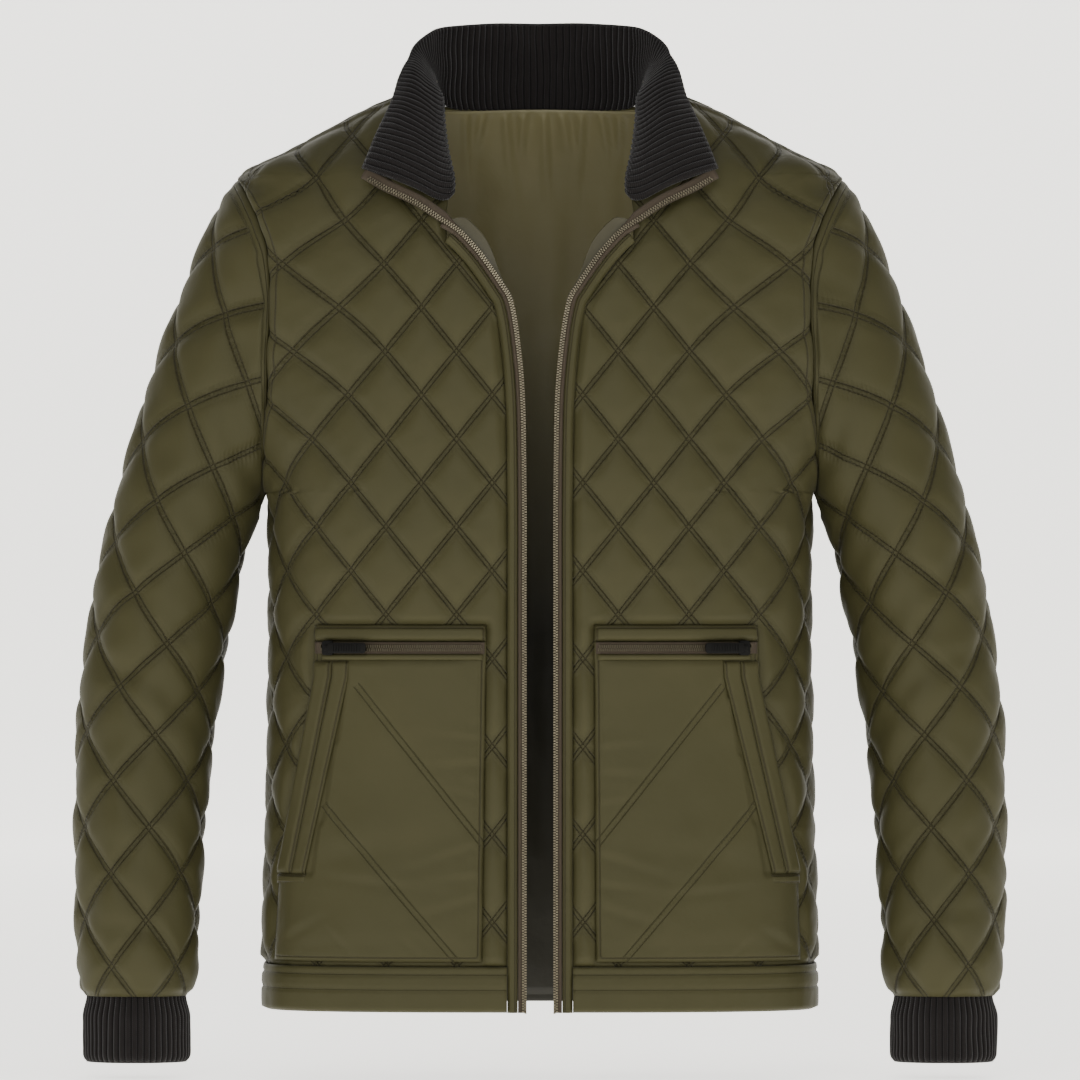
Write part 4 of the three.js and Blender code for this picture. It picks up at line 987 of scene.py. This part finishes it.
def edge_strip(
    name, node, side, start, end, inset_from, inset_to, heights, low, materials, slot, step=2.4, taper=None, **more
):
    """A strip along the front edge with a raised form; heights gives it across, from 0 to 1, and along."""
    span = slice(int(start * (len(edge_line) - 1)), int(end * (len(edge_line) - 1)) + 1)
    line, away, normal = edge_line[span], edge_away[span], edge_normals[span]
    length = float(np.linalg.norm(np.diff(line, axis=0), axis=1).sum())
    rows = int(length / step)
    packed = even(np.hstack([line, away, normal]), rows)
    line, away, normal = packed[:, :3], packed[:, 3:6], packed[:, 6:9]
    wide = inset_to - inset_from
    narrowing = taper if taper is not None else lambda at: 0.0
    columns = max(6, int(wide / 0.9)) + 1
    share = np.linspace(0, 1, columns)[None, :]
    along = np.linspace(0, length, rows)[:, None]
    share, along = np.broadcast_arrays(share, along)
    inset = inset_from + wide * share + narrowing(along / length) * (1 - share)
    base = line[:, None, :] + away[:, None, :] * inset[..., None]
    outer = base + normal[:, None, :] * heights(share, along)[..., None]
    inner = base + normal[:, None, :] * np.minimum(low, heights(share, along) - 0.5)[..., None]
    outer[..., 0] *= side
    inner[..., 0] *= side
    pattern = np.stack([share * wide, along], axis=-1)
    return cloth(name, outer, inner, pattern, materials, replaces=[node] if node else (), slot=slot, **more)


def placket_form(share, along):
    round_edges = 1 - np.abs(2 * share - 1) ** 3.5
    stitched = -0.7 * np.exp(-(((share - 0.86) * 7.6 / 0.55) ** 2)) - 0.4 * np.exp(-(((share - 0.5) * 7.6 / 0.5) ** 2))
    return -1.0 + 2.1 * round_edges + stitched + 0.25 * lumps(along, share * 8, 51)


def tape_form(share, along):
    under_teeth = 1 - ease(0.5, 0.62, share)
    return -0.3 + 0.8 * (1 - np.abs(2 * share - 1) ** 4) - 1.0 * under_teeth + 0.1 * np.sin(along / 9)


def collar_tape_form(share, along):
    return -0.9 + 0.9 * (1 - np.abs(2 * share - 1) ** 3) + 0.1 * np.sin(along / 9)


def tooth_strip(name, side):
    """One side of the open zip: two columns of small metal teeth on a cord of tape."""
    span = edge_line
    length = float(np.linalg.norm(np.diff(span, axis=0), axis=1).sum())
    count = int(length / 2.0)
    packed = even(np.hstack([span, edge_away, edge_normals]), count)
    bm = bmesh.new()
    for k in range(4, count):
        place, away, normal = packed[k, :3], packed[k, 3:6], packed[k, 6:9]
        along = np.cross(normal, away)
        for column, (inset, lift) in enumerate(((0.95, 0.15), (2.75, 0.25))):
            centre = place + away * (inset + 0.05) + normal * lift + along * column
            frame_of = np.eye(4)
            frame_of[:3, 0], frame_of[:3, 1], frame_of[:3, 2] = away * 1.65, along * 1.1, normal * 2.0
            frame_of[:3, 3] = centre
            frame_of[:3] *= MM
            matrix = Matrix([list(map(float, row)) for row in frame_of])
            bmesh.ops.create_cube(bm, size=1.0, matrix=matrix)
    for v in bm.verts:
        v.co.x *= side
    if side < 0:
        bmesh.ops.reverse_faces(bm, faces=bm.faces)
    bmesh.ops.recalc_face_normals(bm, faces=bm.faces)
    return finish_piece(
        f"front_teeth_{name}", bm, [tooth_metal], replaces=[f"zip_teeth_{name}"], slot="zip_metal", smooth=False
    )


def hem_band(name, node, start, end, facing, seed):
    """The plain doubled band at the hem, with two rows of stitching and an edge rounded over."""
    count = int(abs(end - start) / FINE)
    down = np.linspace(0, 1, 19)
    z = HEM_TOP + (HEM_BOTTOM - HEM_TOP) * down
    across = np.linspace(start, end, count)
    base = np.array([body_row(across, level, facing) for level in z])
    normals = body_normals(base)
    across, down = np.meshgrid(across, down)
    # stitched grooves at 13.5 and 26 mm above the edge, where the photo has them
    rise = np.zeros_like(down)
    swell = 1.7 * (1 - np.abs((down - 0.55) / 0.56) ** 4)
    for at, deep in ((HEM_TOP - 5.3, 1.5), (HEM_TOP - 16.5, 1.3)):
        level = HEM_TOP + (HEM_BOTTOM - HEM_TOP) * down
        rise -= deep * np.exp(-(((level - at) / 1.3) ** 2))
    ripple = 0.5 * lumps(across * 1.6, down * 20, seed) + 0.5 * lumps(across * 5, down * 34, seed + 1) * down
    edge_roll = -4.4 * ease(0.93, 1.0, down) ** 2
    outer = base + normals * (swell + rise + ripple + edge_roll)[..., None]
    inner = base + normals * INSIDE
    from_edge = np.abs((HEM_TOP + (HEM_BOTTOM - HEM_TOP) * down) - (HEM_TOP - 5.3)) + 1.9
    second = np.abs((HEM_TOP + (HEM_BOTTOM - HEM_TOP) * down) - (HEM_TOP - 16.5)) + 1.9
    pattern = np.stack([np.minimum(from_edge, second), across + 40.0], axis=-1)
    return cloth(name, outer, inner, pattern, [shell_edged, lining_cloth], replaces=[node], slot="shell")


def facing_form(share, along):
    return -1.55 - 0.4 * share + 0.35 * lumps(along * 1.2, share * 12, 52)


collar_piece()
hem_start = FRONT_EDGE[-1][0] + PANEL_INSET
hem_half = across_at_seam(-665, 0) - 0.3
hem_band("hem_band_back", "hem_back", -hem_half, hem_half, 1, 61)
for trim_name, trim_side in (("left", 1), ("right", -1)):
    cuff_piece(trim_name, trim_side)
    edge_strip(
        f"placket_strip_{trim_name}", f"placket_{trim_name}", trim_side, 3.8 / 16, 1, PLACKET_INSET,
        PLACKET_INSET + PLACKET_WIDE, placket_form, -4.5, [shell_edged], "shell",
    )
    edge_strip(
        f"front_tape_{trim_name}", f"zip_tape_{trim_name}", trim_side, 0.2, 1, 0.3,
        TAPE_INSET + TAPE_WIDE, tape_form, -1.8, [tape_cloth], "zip_tape",
    )
    edge_strip(
        f"collar_tape_{trim_name}", None, trim_side, 0.003, 0.245, -5.2,
        3.6, collar_tape_form, -2.2, [tape_cloth], "zip_tape", taper=lambda at: 4.4 * ease(0.8, 1.0, at),
    )
    edge_strip(
        f"facing_strip_{trim_name}", f"facing_{trim_name}", trim_side, 0.2, 0.5, -9.5,
        TAPE_INSET, facing_form, -3.2, [facing_cloth], "lining",
        taper=lambda at: 9.0 * ease(0.3, 0.85, at) + 9.0 * (1 - ease(0.0, 0.16, at)),
    )
    tooth_strip(trim_name, trim_side)
    hem_band(
        f"hem_band_{trim_name}", f"hem_{trim_name}", hem_start * trim_side, hem_half * trim_side, -1, 62 + trim_side
    )


# Pockets
def pocket_grid(name, heights, inner_at, outer_at, step=FINE):
    """Points on the body between two edges at each height, with their places across and up."""
    side = POCKETS[name]["side"]
    widest = max(outer_at(z) - inner_at(z) for z in heights)
    columns = max(5, int(widest / step)) + 1
    rows = []
    for z in heights:
        x = np.linspace(inner_at(z), outer_at(z), columns)
        s, d, p = section(z)
        y = -d * (1 - np.clip(x / s, 0, 1) ** p) ** (1 / p)
        rows.append(np.stack([x, y, np.full(columns, z)], axis=-1))
    base = np.array(rows)
    return base, body_normals(base), side


def sides_of(base):
    """How far each point of a grid lies from its first and last column and row, in millimetres."""
    steps = np.linalg.norm(np.diff(base, axis=1), axis=2)
    across = np.concatenate([np.zeros((len(base), 1)), np.cumsum(steps, axis=1)], axis=1)
    down = base[:1, :, 2] - base[..., 2]
    return across, across[:, -1:] - across, down, down[-1:, :] - down


def pocket_sheet(piece, node, base, normals, side, high, low, materials, pattern, **more):
    outer = base + normals * high[..., None]
    inner = base + normals * np.minimum(low, high - 0.5)[..., None]
    outer[..., 0] *= side
    inner[..., 0] *= side
    return cloth(piece, outer, inner, pattern, materials, replaces=[node], **more)


def dents(x, z, marks):
    """Puckers drawn in from an edge: x, z, length, half width, slope and depth each."""
    total = np.zeros_like(x)
    for at_x, at_z, long, wide, slope, deep in marks:
        along = (x - at_x) + (z - at_z) * slope
        over = (z - at_z) - (x - at_x) * slope
        fade = np.exp(-((along / long) ** 2))
        ridge = 0.55 * np.exp(-(((over - wide * 1.3) / wide) ** 2))
        total += deep * fade * (ridge - np.exp(-((over / (wide * 0.8)) ** 2)))
    return total


# Puckers of the pocket, seen from the front, from its inner edge: x, z, length, half width, slope, depth
POCKET_DENTS = [
    (48, -478, 26, 4, 0.10, 0.8), (48, -497, 30, 5, -0.05, 0.9), (50, -520, 22, 4, 0.2, 0.6),
    (52, -560, 40, 5, -0.32, 1.0), (50, -581, 30, 4, -0.1, 0.8), (56, -600, 34, 5, -0.3, 0.9),
    (120, -586, 34, 5, 0.12, 0.8), (150, -628, 16, 4, 1.1, 0.8), (180, -622, 20, 5, -0.6, 0.8),
    (95, -634, 14, 4, 0.9, 0.6), (130, -560, 60, 12, -0.2, 0.7),
]
# Faint double stitch lines of the quilting that the pocket is sewn over: start x, z and end x, z
POCKET_LINES = [((137, -436), (42, -556)), ((162, -525), (62, -643))]


def line_distance(x, z, start, end):
    """Signed distance from a line, and how far along it, as a share."""
    (x0, z0), (x1, z1) = start, end
    length = math.hypot(x1 - x0, z1 - z0)
    ux, uz = (x1 - x0) / length, (z1 - z0) / length
    return (x - x0) * uz - (z - z0) * ux, ((x - x0) * ux + (z - z0) * uz) / length


def pocket_patch(name):
    heights = np.linspace(BAND_BOTTOM - 0.3, POCKET_BOTTOM, 100)
    base, normals, side = pocket_grid(
        name, heights, lambda z: pocket_inner(name, z), lambda z: pocket_edge(name, z), 2.2
    )
    left, right, down, up = sides_of(base)
    x, z = base[..., 0], base[..., 2]
    edge = np.minimum(np.minimum(left, right), up)
    form = 1.6 * ease(0.0, 2.2, edge) - 1.1 * np.exp(-(((edge - 3.2) / 1.1) ** 2)) + 1.5 * ease(3.5, 26, edge)
    form += 0.55 * lumps(x, z, 71 if side > 0 else 72) * ease(3, 12, edge)
    mirrored = 0.0 if side < 0 else 7.0
    form += dents(x, z + mirrored, POCKET_DENTS) * ease(2.0, 6.0, edge)
    form += 0.35 * lumps(z * 3.2, x * 0.4, 73) * np.exp(-((left - 7) / 8) ** 2)
    faint = np.full_like(x, 99.0)
    for start, end in POCKET_LINES:
        off, share = line_distance(x, z, start, end)
        inside = ease(-0.02, 0.02, share) * (1 - ease(0.98, 1.02, share))
        faint = np.where((np.abs(off) < 7) & (inside > 0.5), np.abs(off), faint)
        form -= 0.9 * inside * (np.exp(-(((off - 2.2) / 1.3) ** 2)) + np.exp(-(((off + 2.2) / 1.3) ** 2)))
    form = form * (1 - ease(-422, -416, z)) + 0.6 * ease(-422, -416, z)
    covered = pocket_edge(name, z) - x < 27
    form = np.where(covered & (z > -580), np.minimum(form, 1.0), form)
    high = -0.9 + form
    stitch = np.stack([np.minimum(edge, 99.0) - 1.0, left + z, faint, z], axis=-1)
    return pocket_sheet(
        f"pocket_patch_{name}", f"pocket_{name}", base, normals, side, high, -1.2,
        [shell_pocket], stitch, slot="shell",
    )


def pocket_band(name):
    heights = np.linspace(POCKET_TOP, BAND_BOTTOM, 11)
    base, normals, side = pocket_grid(name, heights, lambda z: pocket_inner(name, z), lambda z: pocket_edge(name, z))
    left, right, down, up = sides_of(base)
    edge = np.minimum(np.minimum(left, right), np.minimum(down, up))
    high = -0.6 + 2.9 * ease(0, 2.6, edge) - 0.9 * np.exp(-(((down - 2.4) / 0.7) ** 2))
    high += 0.9 * (1 - np.abs(down / 12 - 0.62) * 2) + 0.3 * lumps(base[..., 0] * 1.4, base[..., 2], 74)
    stitch = np.stack([np.minimum(down, np.minimum(left, right)), left + 30.0], axis=-1)
    return pocket_sheet(
        f"pocket_band_cloth_{name}", f"pocket_band_{name}", base, normals, side, high, -1.0,
        [shell_edged], stitch, slot="shell",
    )


def pocket_zip(name):
    """Two rows of small dark teeth on the pocket's tape."""
    side = POCKETS[name]["side"]
    middle = (ZIP_TOP + ZIP_BOTTOM) / 2
    inner, outer = pocket_inner(name, middle) + 2.4, pocket_edge(name, middle) - 6.4
    base, normals, _side = pocket_grid(name, [ZIP_TOP, middle, ZIP_BOTTOM], lambda z: inner, lambda z: outer, 1.6)
    bm = bmesh.new()
    for i in range(base.shape[1] - 1):
        for z_off in (1.25, -1.25):
            place = (base[1, i] + base[1, i + 1]) / 2 + np.array([0.8 if z_off > 0 else 0.0, 0, z_off])
            normal = normals[1, i]
            along = np.cross([0, 0, 1.0], normal)
            spin_frame = np.eye(4)
            spin_frame[:3, 0], spin_frame[:3, 1], spin_frame[:3, 2] = along * 1.0, np.array([0, 0, 2.2]), normal * 1.3
            spin_frame[:3, 3] = place + normal * 2.3
            spin_frame[:3] *= MM
            bmesh.ops.create_cube(bm, size=1.0, matrix=Matrix([list(map(float, row)) for row in spin_frame]))
    for v in bm.verts:
        v.co.x *= side
    bmesh.ops.recalc_face_normals(bm, faces=bm.faces)
    finish_piece(
        f"pocket_zip_teeth_{name}", bm, [dark_teeth], replaces=[f"pocket_teeth_{name}"], slot="zip_metal", smooth=False
    )
    heights = np.linspace(BAND_BOTTOM - 0.5, LIP_TOP + 0.2, 9)
    base, normals, side = pocket_grid(
        name, heights, lambda z: pocket_inner(name, z) + 1.0, lambda z: pocket_edge(name, z) - 1.5
    )
    left, right, down, up = sides_of(base)
    high = 1.15 + 0.35 * np.exp(-(((down - 1.0) / 0.8) ** 2))
    pattern = np.stack([down, left], axis=-1)
    outer_grid = base + normals * high[..., None]
    inner_grid = base + normals * (0.75 * np.ones_like(high))[..., None]
    for grid in (outer_grid, inner_grid):
        grid[..., 0] *= side
    cloth(f"pocket_tape_{name}", outer_grid, inner_grid, pattern, [tape_cloth], slot="zip_tape")


def pocket_lip(name):
    heights = np.linspace(LIP_TOP, LIP_BOTTOM, 8)
    base, normals, side = pocket_grid(
        name, heights, lambda z: pocket_inner(name, z) + 2, lambda z: pocket_edge(name, z) - 6
    )
    left, right, down, up = sides_of(base)
    high = 1.4 + 1.6 * (1 - np.abs(down / 2.25 - 1) ** 2.5) * ease(0, 2, np.minimum(left, right))
    pattern = np.stack([down * 0 + 9, left], axis=-1)
    return pocket_sheet(
        f"pocket_lip_cloth_{name}", f"pocket_lip_{name}", base, normals, side, high, 1.2,
        [shell_edged], pattern, slot="shell",
    )


WELT_AT = {"outer": (0.5, 0.5), "middle": (14, 11), "inner": (27, 21)}


def welt_line(name, which, z):
    share = (WELT_TOP - z) / (WELT_TOP - WELT_BOTTOM)
    top, low = WELT_AT[which]
    return pocket_edge(name, z) - (top + (low - top) * share)


def welt(name, which):
    """One of the two slanted strips of the side pocket, lying on the patch."""
    heights = np.linspace(WELT_TOP, WELT_BOTTOM, 70)
    first, last = ("middle", "outer") if which == "outer" else ("inner", "middle")
    gap = 0.0 if which == "outer" else 0.3
    base, normals, side = pocket_grid(
        name, heights, lambda z: welt_line(name, first, z), lambda z: welt_line(name, last, z) - gap, 1.5
    )
    left, right, down, up = sides_of(base)
    edge = np.minimum(np.minimum(left, right), np.minimum(down, up))
    tall = 2.6 if which == "outer" else 1.5
    high = 1.2 + tall * ease(-0.4, 3.4 if which == "outer" else 2.0, edge)
    high -= 0.75 * np.exp(-(((left - 1.9) / 0.8) ** 2))
    uneven = 0.4 * lumps(down, left * 2, 75 if side > 0 else 76) * ease(0.5, 4, edge)
    high += uneven + 0.12 * np.sin(down * 1.1) * np.exp(-((left / 3) ** 2))
    pattern = np.stack([left, down + 50.0], axis=-1)
    return pocket_sheet(
        f"welt_{which}_cloth_{name}", f"welt_{which}_{name}", base, normals, side, high, 1.1,
        [shell_edged], pattern, slot="shell",
    )


def end_tack(name):
    """The short stitched bar across the foot of the slanted welt."""
    heights = np.linspace(-578.6, -585.6, 8)
    base, normals, side = pocket_grid(
        name, heights, lambda z: welt_line(name, "inner", WELT_BOTTOM) - 1.0,
        lambda z: pocket_edge(name, z) - 0.8, 1.4,
    )
    left, right, down, up = sides_of(base)
    edge = np.minimum(np.minimum(left, right), np.minimum(down, up))
    high = 1.4 + 1.5 * ease(-0.2, 2.2, edge)
    pattern = np.stack([np.minimum(down, up) + 0.9, left + 20.0], axis=-1)
    outer = base + normals * high[..., None]
    inner = base + normals * (1.15 * np.ones_like(high))[..., None]
    for grid in (outer, inner):
        grid[..., 0] *= side
    return cloth(f"welt_tack_{name}", outer, inner, pattern, [shell_edged], slot="shell")


def slider_frame(name, lift):
    """The slider's place on the pocket and its turn about the upright axis."""
    side = POCKETS[name]["side"]
    z = (ZIP_TOP + ZIP_BOTTOM) / 2
    x = pocket_edge(name, z) - 8 - 4.5

    def seat(at_x):
        s, d, p = section(z)
        point = np.array([[at_x, -d * (1 - (at_x / s) ** p) ** (1 / p), z]])
        return (point + body_normals(point) * lift)[0]

    here, far = seat(x), seat(x - 30)
    turn = math.atan2((far[1] - here[1]) * -side, 30)
    here[0] *= side
    return here, turn, side


def add_plate(bm, wide, tall, thick, radius, along, away, frame_of, bevel):
    """A small plate with round ends and softened edges, standing on the slider's frame."""
    here, turn, side = frame_of
    corners = []
    for cx, cz, start in ((1, 1, 0), (-1, 1, 90), (-1, -1, 180), (1, -1, 270)):
        for step in range(5):
            angle = math.radians(start + step * 22.5)
            corner_x = cx * (wide / 2 - radius) + radius * math.cos(angle)
            corners.append((corner_x, cz * (tall / 2 - radius) + radius * math.sin(angle)))
    part = bmesh.new()
    verts = [part.verts.new((x, 0, z)) for x, z in corners]
    made = bmesh.ops.extrude_face_region(part, geom=[part.faces.new(verts)])
    moved = [g for g in made["geom"] if isinstance(g, bmesh.types.BMVert)]
    bmesh.ops.translate(part, verts=moved, vec=(0, -thick, 0))
    rims = [e for e in part.edges if abs(e.verts[0].co.y - e.verts[1].co.y) < 1e-6]
    bmesh.ops.bevel(part, geom=rims, offset=bevel, segments=2, affect="EDGES", profile=0.5, material=-1)
    bmesh.ops.translate(part, verts=part.verts, vec=(-along * side, -away, 0))
    bmesh.ops.rotate(part, verts=part.verts, cent=(0, 0, 0), matrix=Matrix.Rotation(turn, 3, "Z"))
    bmesh.ops.translate(part, verts=part.verts, vec=Vector(here))
    bmesh.ops.scale(part, verts=part.verts, vec=(MM, MM, MM))
    holder = bpy.data.meshes.new("plate")
    part.to_mesh(holder)
    part.free()
    bm.from_mesh(holder)
    bpy.data.meshes.remove(holder)


def pocket_slider(name):
    on = 1 + 0.6 + 1.4 + 0.3
    frame_of = slider_frame(name, on)
    bm = bmesh.new()
    add_plate(bm, 9, 11, 2.2, 2, 0, 0, frame_of, 0.5)
    add_plate(bm, 6, 4.4, 1.1, 1.2, 0.6, 2.25, frame_of, 0.4)
    bmesh.ops.recalc_face_normals(bm, faces=bm.faces)
    finish_piece(f"slider_body_{name}", bm, [black_metal], replaces=[f"pocket_slider_{name}"], slot="zip_black")
    bm = bmesh.new()
    along = 4.5 - 3 + 31 / 2
    add_plate(bm, 31, 8, 1.5, 2.5, along, 3.4 + 0.6, frame_of, 0.45)
    for k in range(11):
        add_plate(bm, 1.1, 5.6, 0.45, 0.4, along - 11.0 + k * 2.1, 3.4 + 0.6 + 1.52, frame_of, 0.12)
    bmesh.ops.recalc_face_normals(bm, faces=bm.faces)
    return finish_piece(
        f"zip_pull_{name}", bm, [black_metal], body=f"pull_{name}", replaces=[f"pocket_pull_{name}"], slot="zip_black"
    )


# The back's lining, gathered under the neck
# Gathers under the neck: place across, reach down, slope; then long folds: place across, width, depth
GATHERS = [
    (-58, 34, 0.06), (-44, 22, -0.2), (-27, 40, 0.12), (-12, 26, -0.1),
    (3, 46, 0.05), (17, 24, 0.2), (33, 38, -0.08), (48, 26, 0.15), (62, 34, -0.05),
]
LINING_FOLDS = [
    (-95, 9, 2.0), (-70, 12, 2.6), (-38, 10, 1.6), (-14, 14, 2.2), (16, 11, 1.8),
    (45, 13, 2.4), (78, 10, 2.0), (110, 12, 2.2),
]


def back_lining():
    heights = np.concatenate([np.linspace(1.5, -70, 38), np.linspace(-73, -676, 96)])
    columns = 116
    share = np.linspace(-1, 1, columns)
    rows = []
    for z in heights:
        half = min(outer_across(max(z, -646), 1) * 0.93, 186.0) if z > -200 else 186.0
        rows.append(body_row(share * half, z, 1))
    base = np.array(rows)
    normals = body_normals(base)
    x, z = base[..., 0], base[..., 2]
    below = -z
    fold = np.zeros_like(x)
    for at, reach, slope in GATHERS:
        centre = at + slope * below
        fade = np.exp(-(((below - 6) / reach) ** 2)) * ease(0, 5, below)
        fold += 2.6 * fade * (np.exp(-(((x - centre) / 2.4) ** 2)) - 0.6 * np.exp(-(((x - centre - 5) / 4.0) ** 2)))
    for at, wide, deep in LINING_FOLDS:
        centre = at + 7 * np.sin(below / 120 + at)
        fold += deep * ease(14, 90, below) * (1 - ease(560, 640, below)) * np.exp(-(((x - centre) / wide) ** 2))
    fold += 0.7 * lumps(x, z, 81) * ease(5, 40, below)
    lift = INSIDE - 1.2 - np.clip(fold + 1.0, 0, 6)
    outer = base + normals * lift[..., None]
    inner = base + normals * (lift + 0.5)[..., None]
    pattern = np.stack([x, z], axis=-1)
    return cloth("lining_cloth_back", outer, inner, pattern, [lining_cloth], replaces=["lining_back"], slot="lining")


back_lining()
for pocket_name in ("left", "right"):
    pocket_patch(pocket_name)
    pocket_band(pocket_name)
    pocket_zip(pocket_name)
    pocket_lip(pocket_name)
    welt(pocket_name, "outer")
    welt(pocket_name, "inner")
    end_tack(pocket_name)
    pocket_slider(pocket_name)


# Camera, light and floor
CAMERA_FAR = 9.0
camera_data = bpy.data.cameras.new("camera")
camera_data.sensor_width = 36
camera_data.lens = 36 * CAMERA_FAR / 0.81
camera = bpy.data.objects.new("camera", camera_data)
bpy.context.scene.collection.objects.link(camera)
camera.location = (0, -CAMERA_FAR - 0.06, -0.3285)
camera.rotation_euler = (math.radians(90), 0, 0)
bpy.context.scene.camera = camera


def lamp(name, place, size, power, target=(0, 0, -0.33)):
    data = bpy.data.lights.new(name, "AREA")
    data.shape = "DISK"
    data.size = size
    data.energy = power
    made = bpy.data.objects.new(name, data)
    made.location = place
    aim = Vector(target) - Vector(place)
    made.rotation_euler = aim.to_track_quat("-Z", "Y").to_euler()
    bpy.context.scene.collection.objects.link(made)
    return made


lamps = [
    lamp("front_light", (-0.5, -3.4, 1.0), 1.6, 40),
    lamp("side_light", (1.6, -2.4, 1.4), 1.6, 10),
    lamp("top_light", (0, -0.6, 2.3), 1.8, 14),
]
world = bpy.data.worlds.new("studio")
world.use_nodes = True
world.node_tree.nodes["Background"].inputs[0].default_value = (0.93, 0.92, 0.9, 1)
world.node_tree.nodes["Background"].inputs[1].default_value = 0.42
bpy.context.scene.world = world

# A pale floor that curves up into the wall behind
floor_bm = bmesh.new()
bmesh.ops.create_grid(floor_bm, x_segments=2, y_segments=60, size=0.5)
FLOOR_FROM, FLOOR_BEND, WALL_TOP, BEND = -6.0, 7.0, 5.5, 1.2
for v in floor_bm.verts:
    share = v.co.y + 0.5
    flat_long, arc_long = FLOOR_BEND - FLOOR_FROM, BEND * math.pi / 2
    at = share * (flat_long + arc_long + WALL_TOP)
    turn = min(max((at - flat_long) / BEND, 0), math.pi / 2)
    past = max(at - flat_long - arc_long, 0)
    y = FLOOR_FROM + min(at, flat_long) + BEND * math.sin(turn)
    v.co = Vector((v.co.x * 14, y, BEND * (1 - math.cos(turn)) + past + cad_box[0][2] - 0.012))
floor_mesh = bpy.data.meshes.new("floor")
floor_bm.to_mesh(floor_mesh)
floor_bm.free()
for polygon in floor_mesh.polygons:
    polygon.use_smooth = True
floor = bpy.data.objects.new("floor", floor_mesh)
bpy.context.scene.collection.objects.link(floor)
floor_look = Shades("pale_floor")
floor_look.shader.inputs["Emission Color"].default_value = (0.97, 0.955, 0.905, 1)
floor_look.shader.inputs["Emission Strength"].default_value = 1.8
floor_mesh.materials.append(floor_look.finish((0.86, 0.85, 0.82, 1), roughness=0.9))
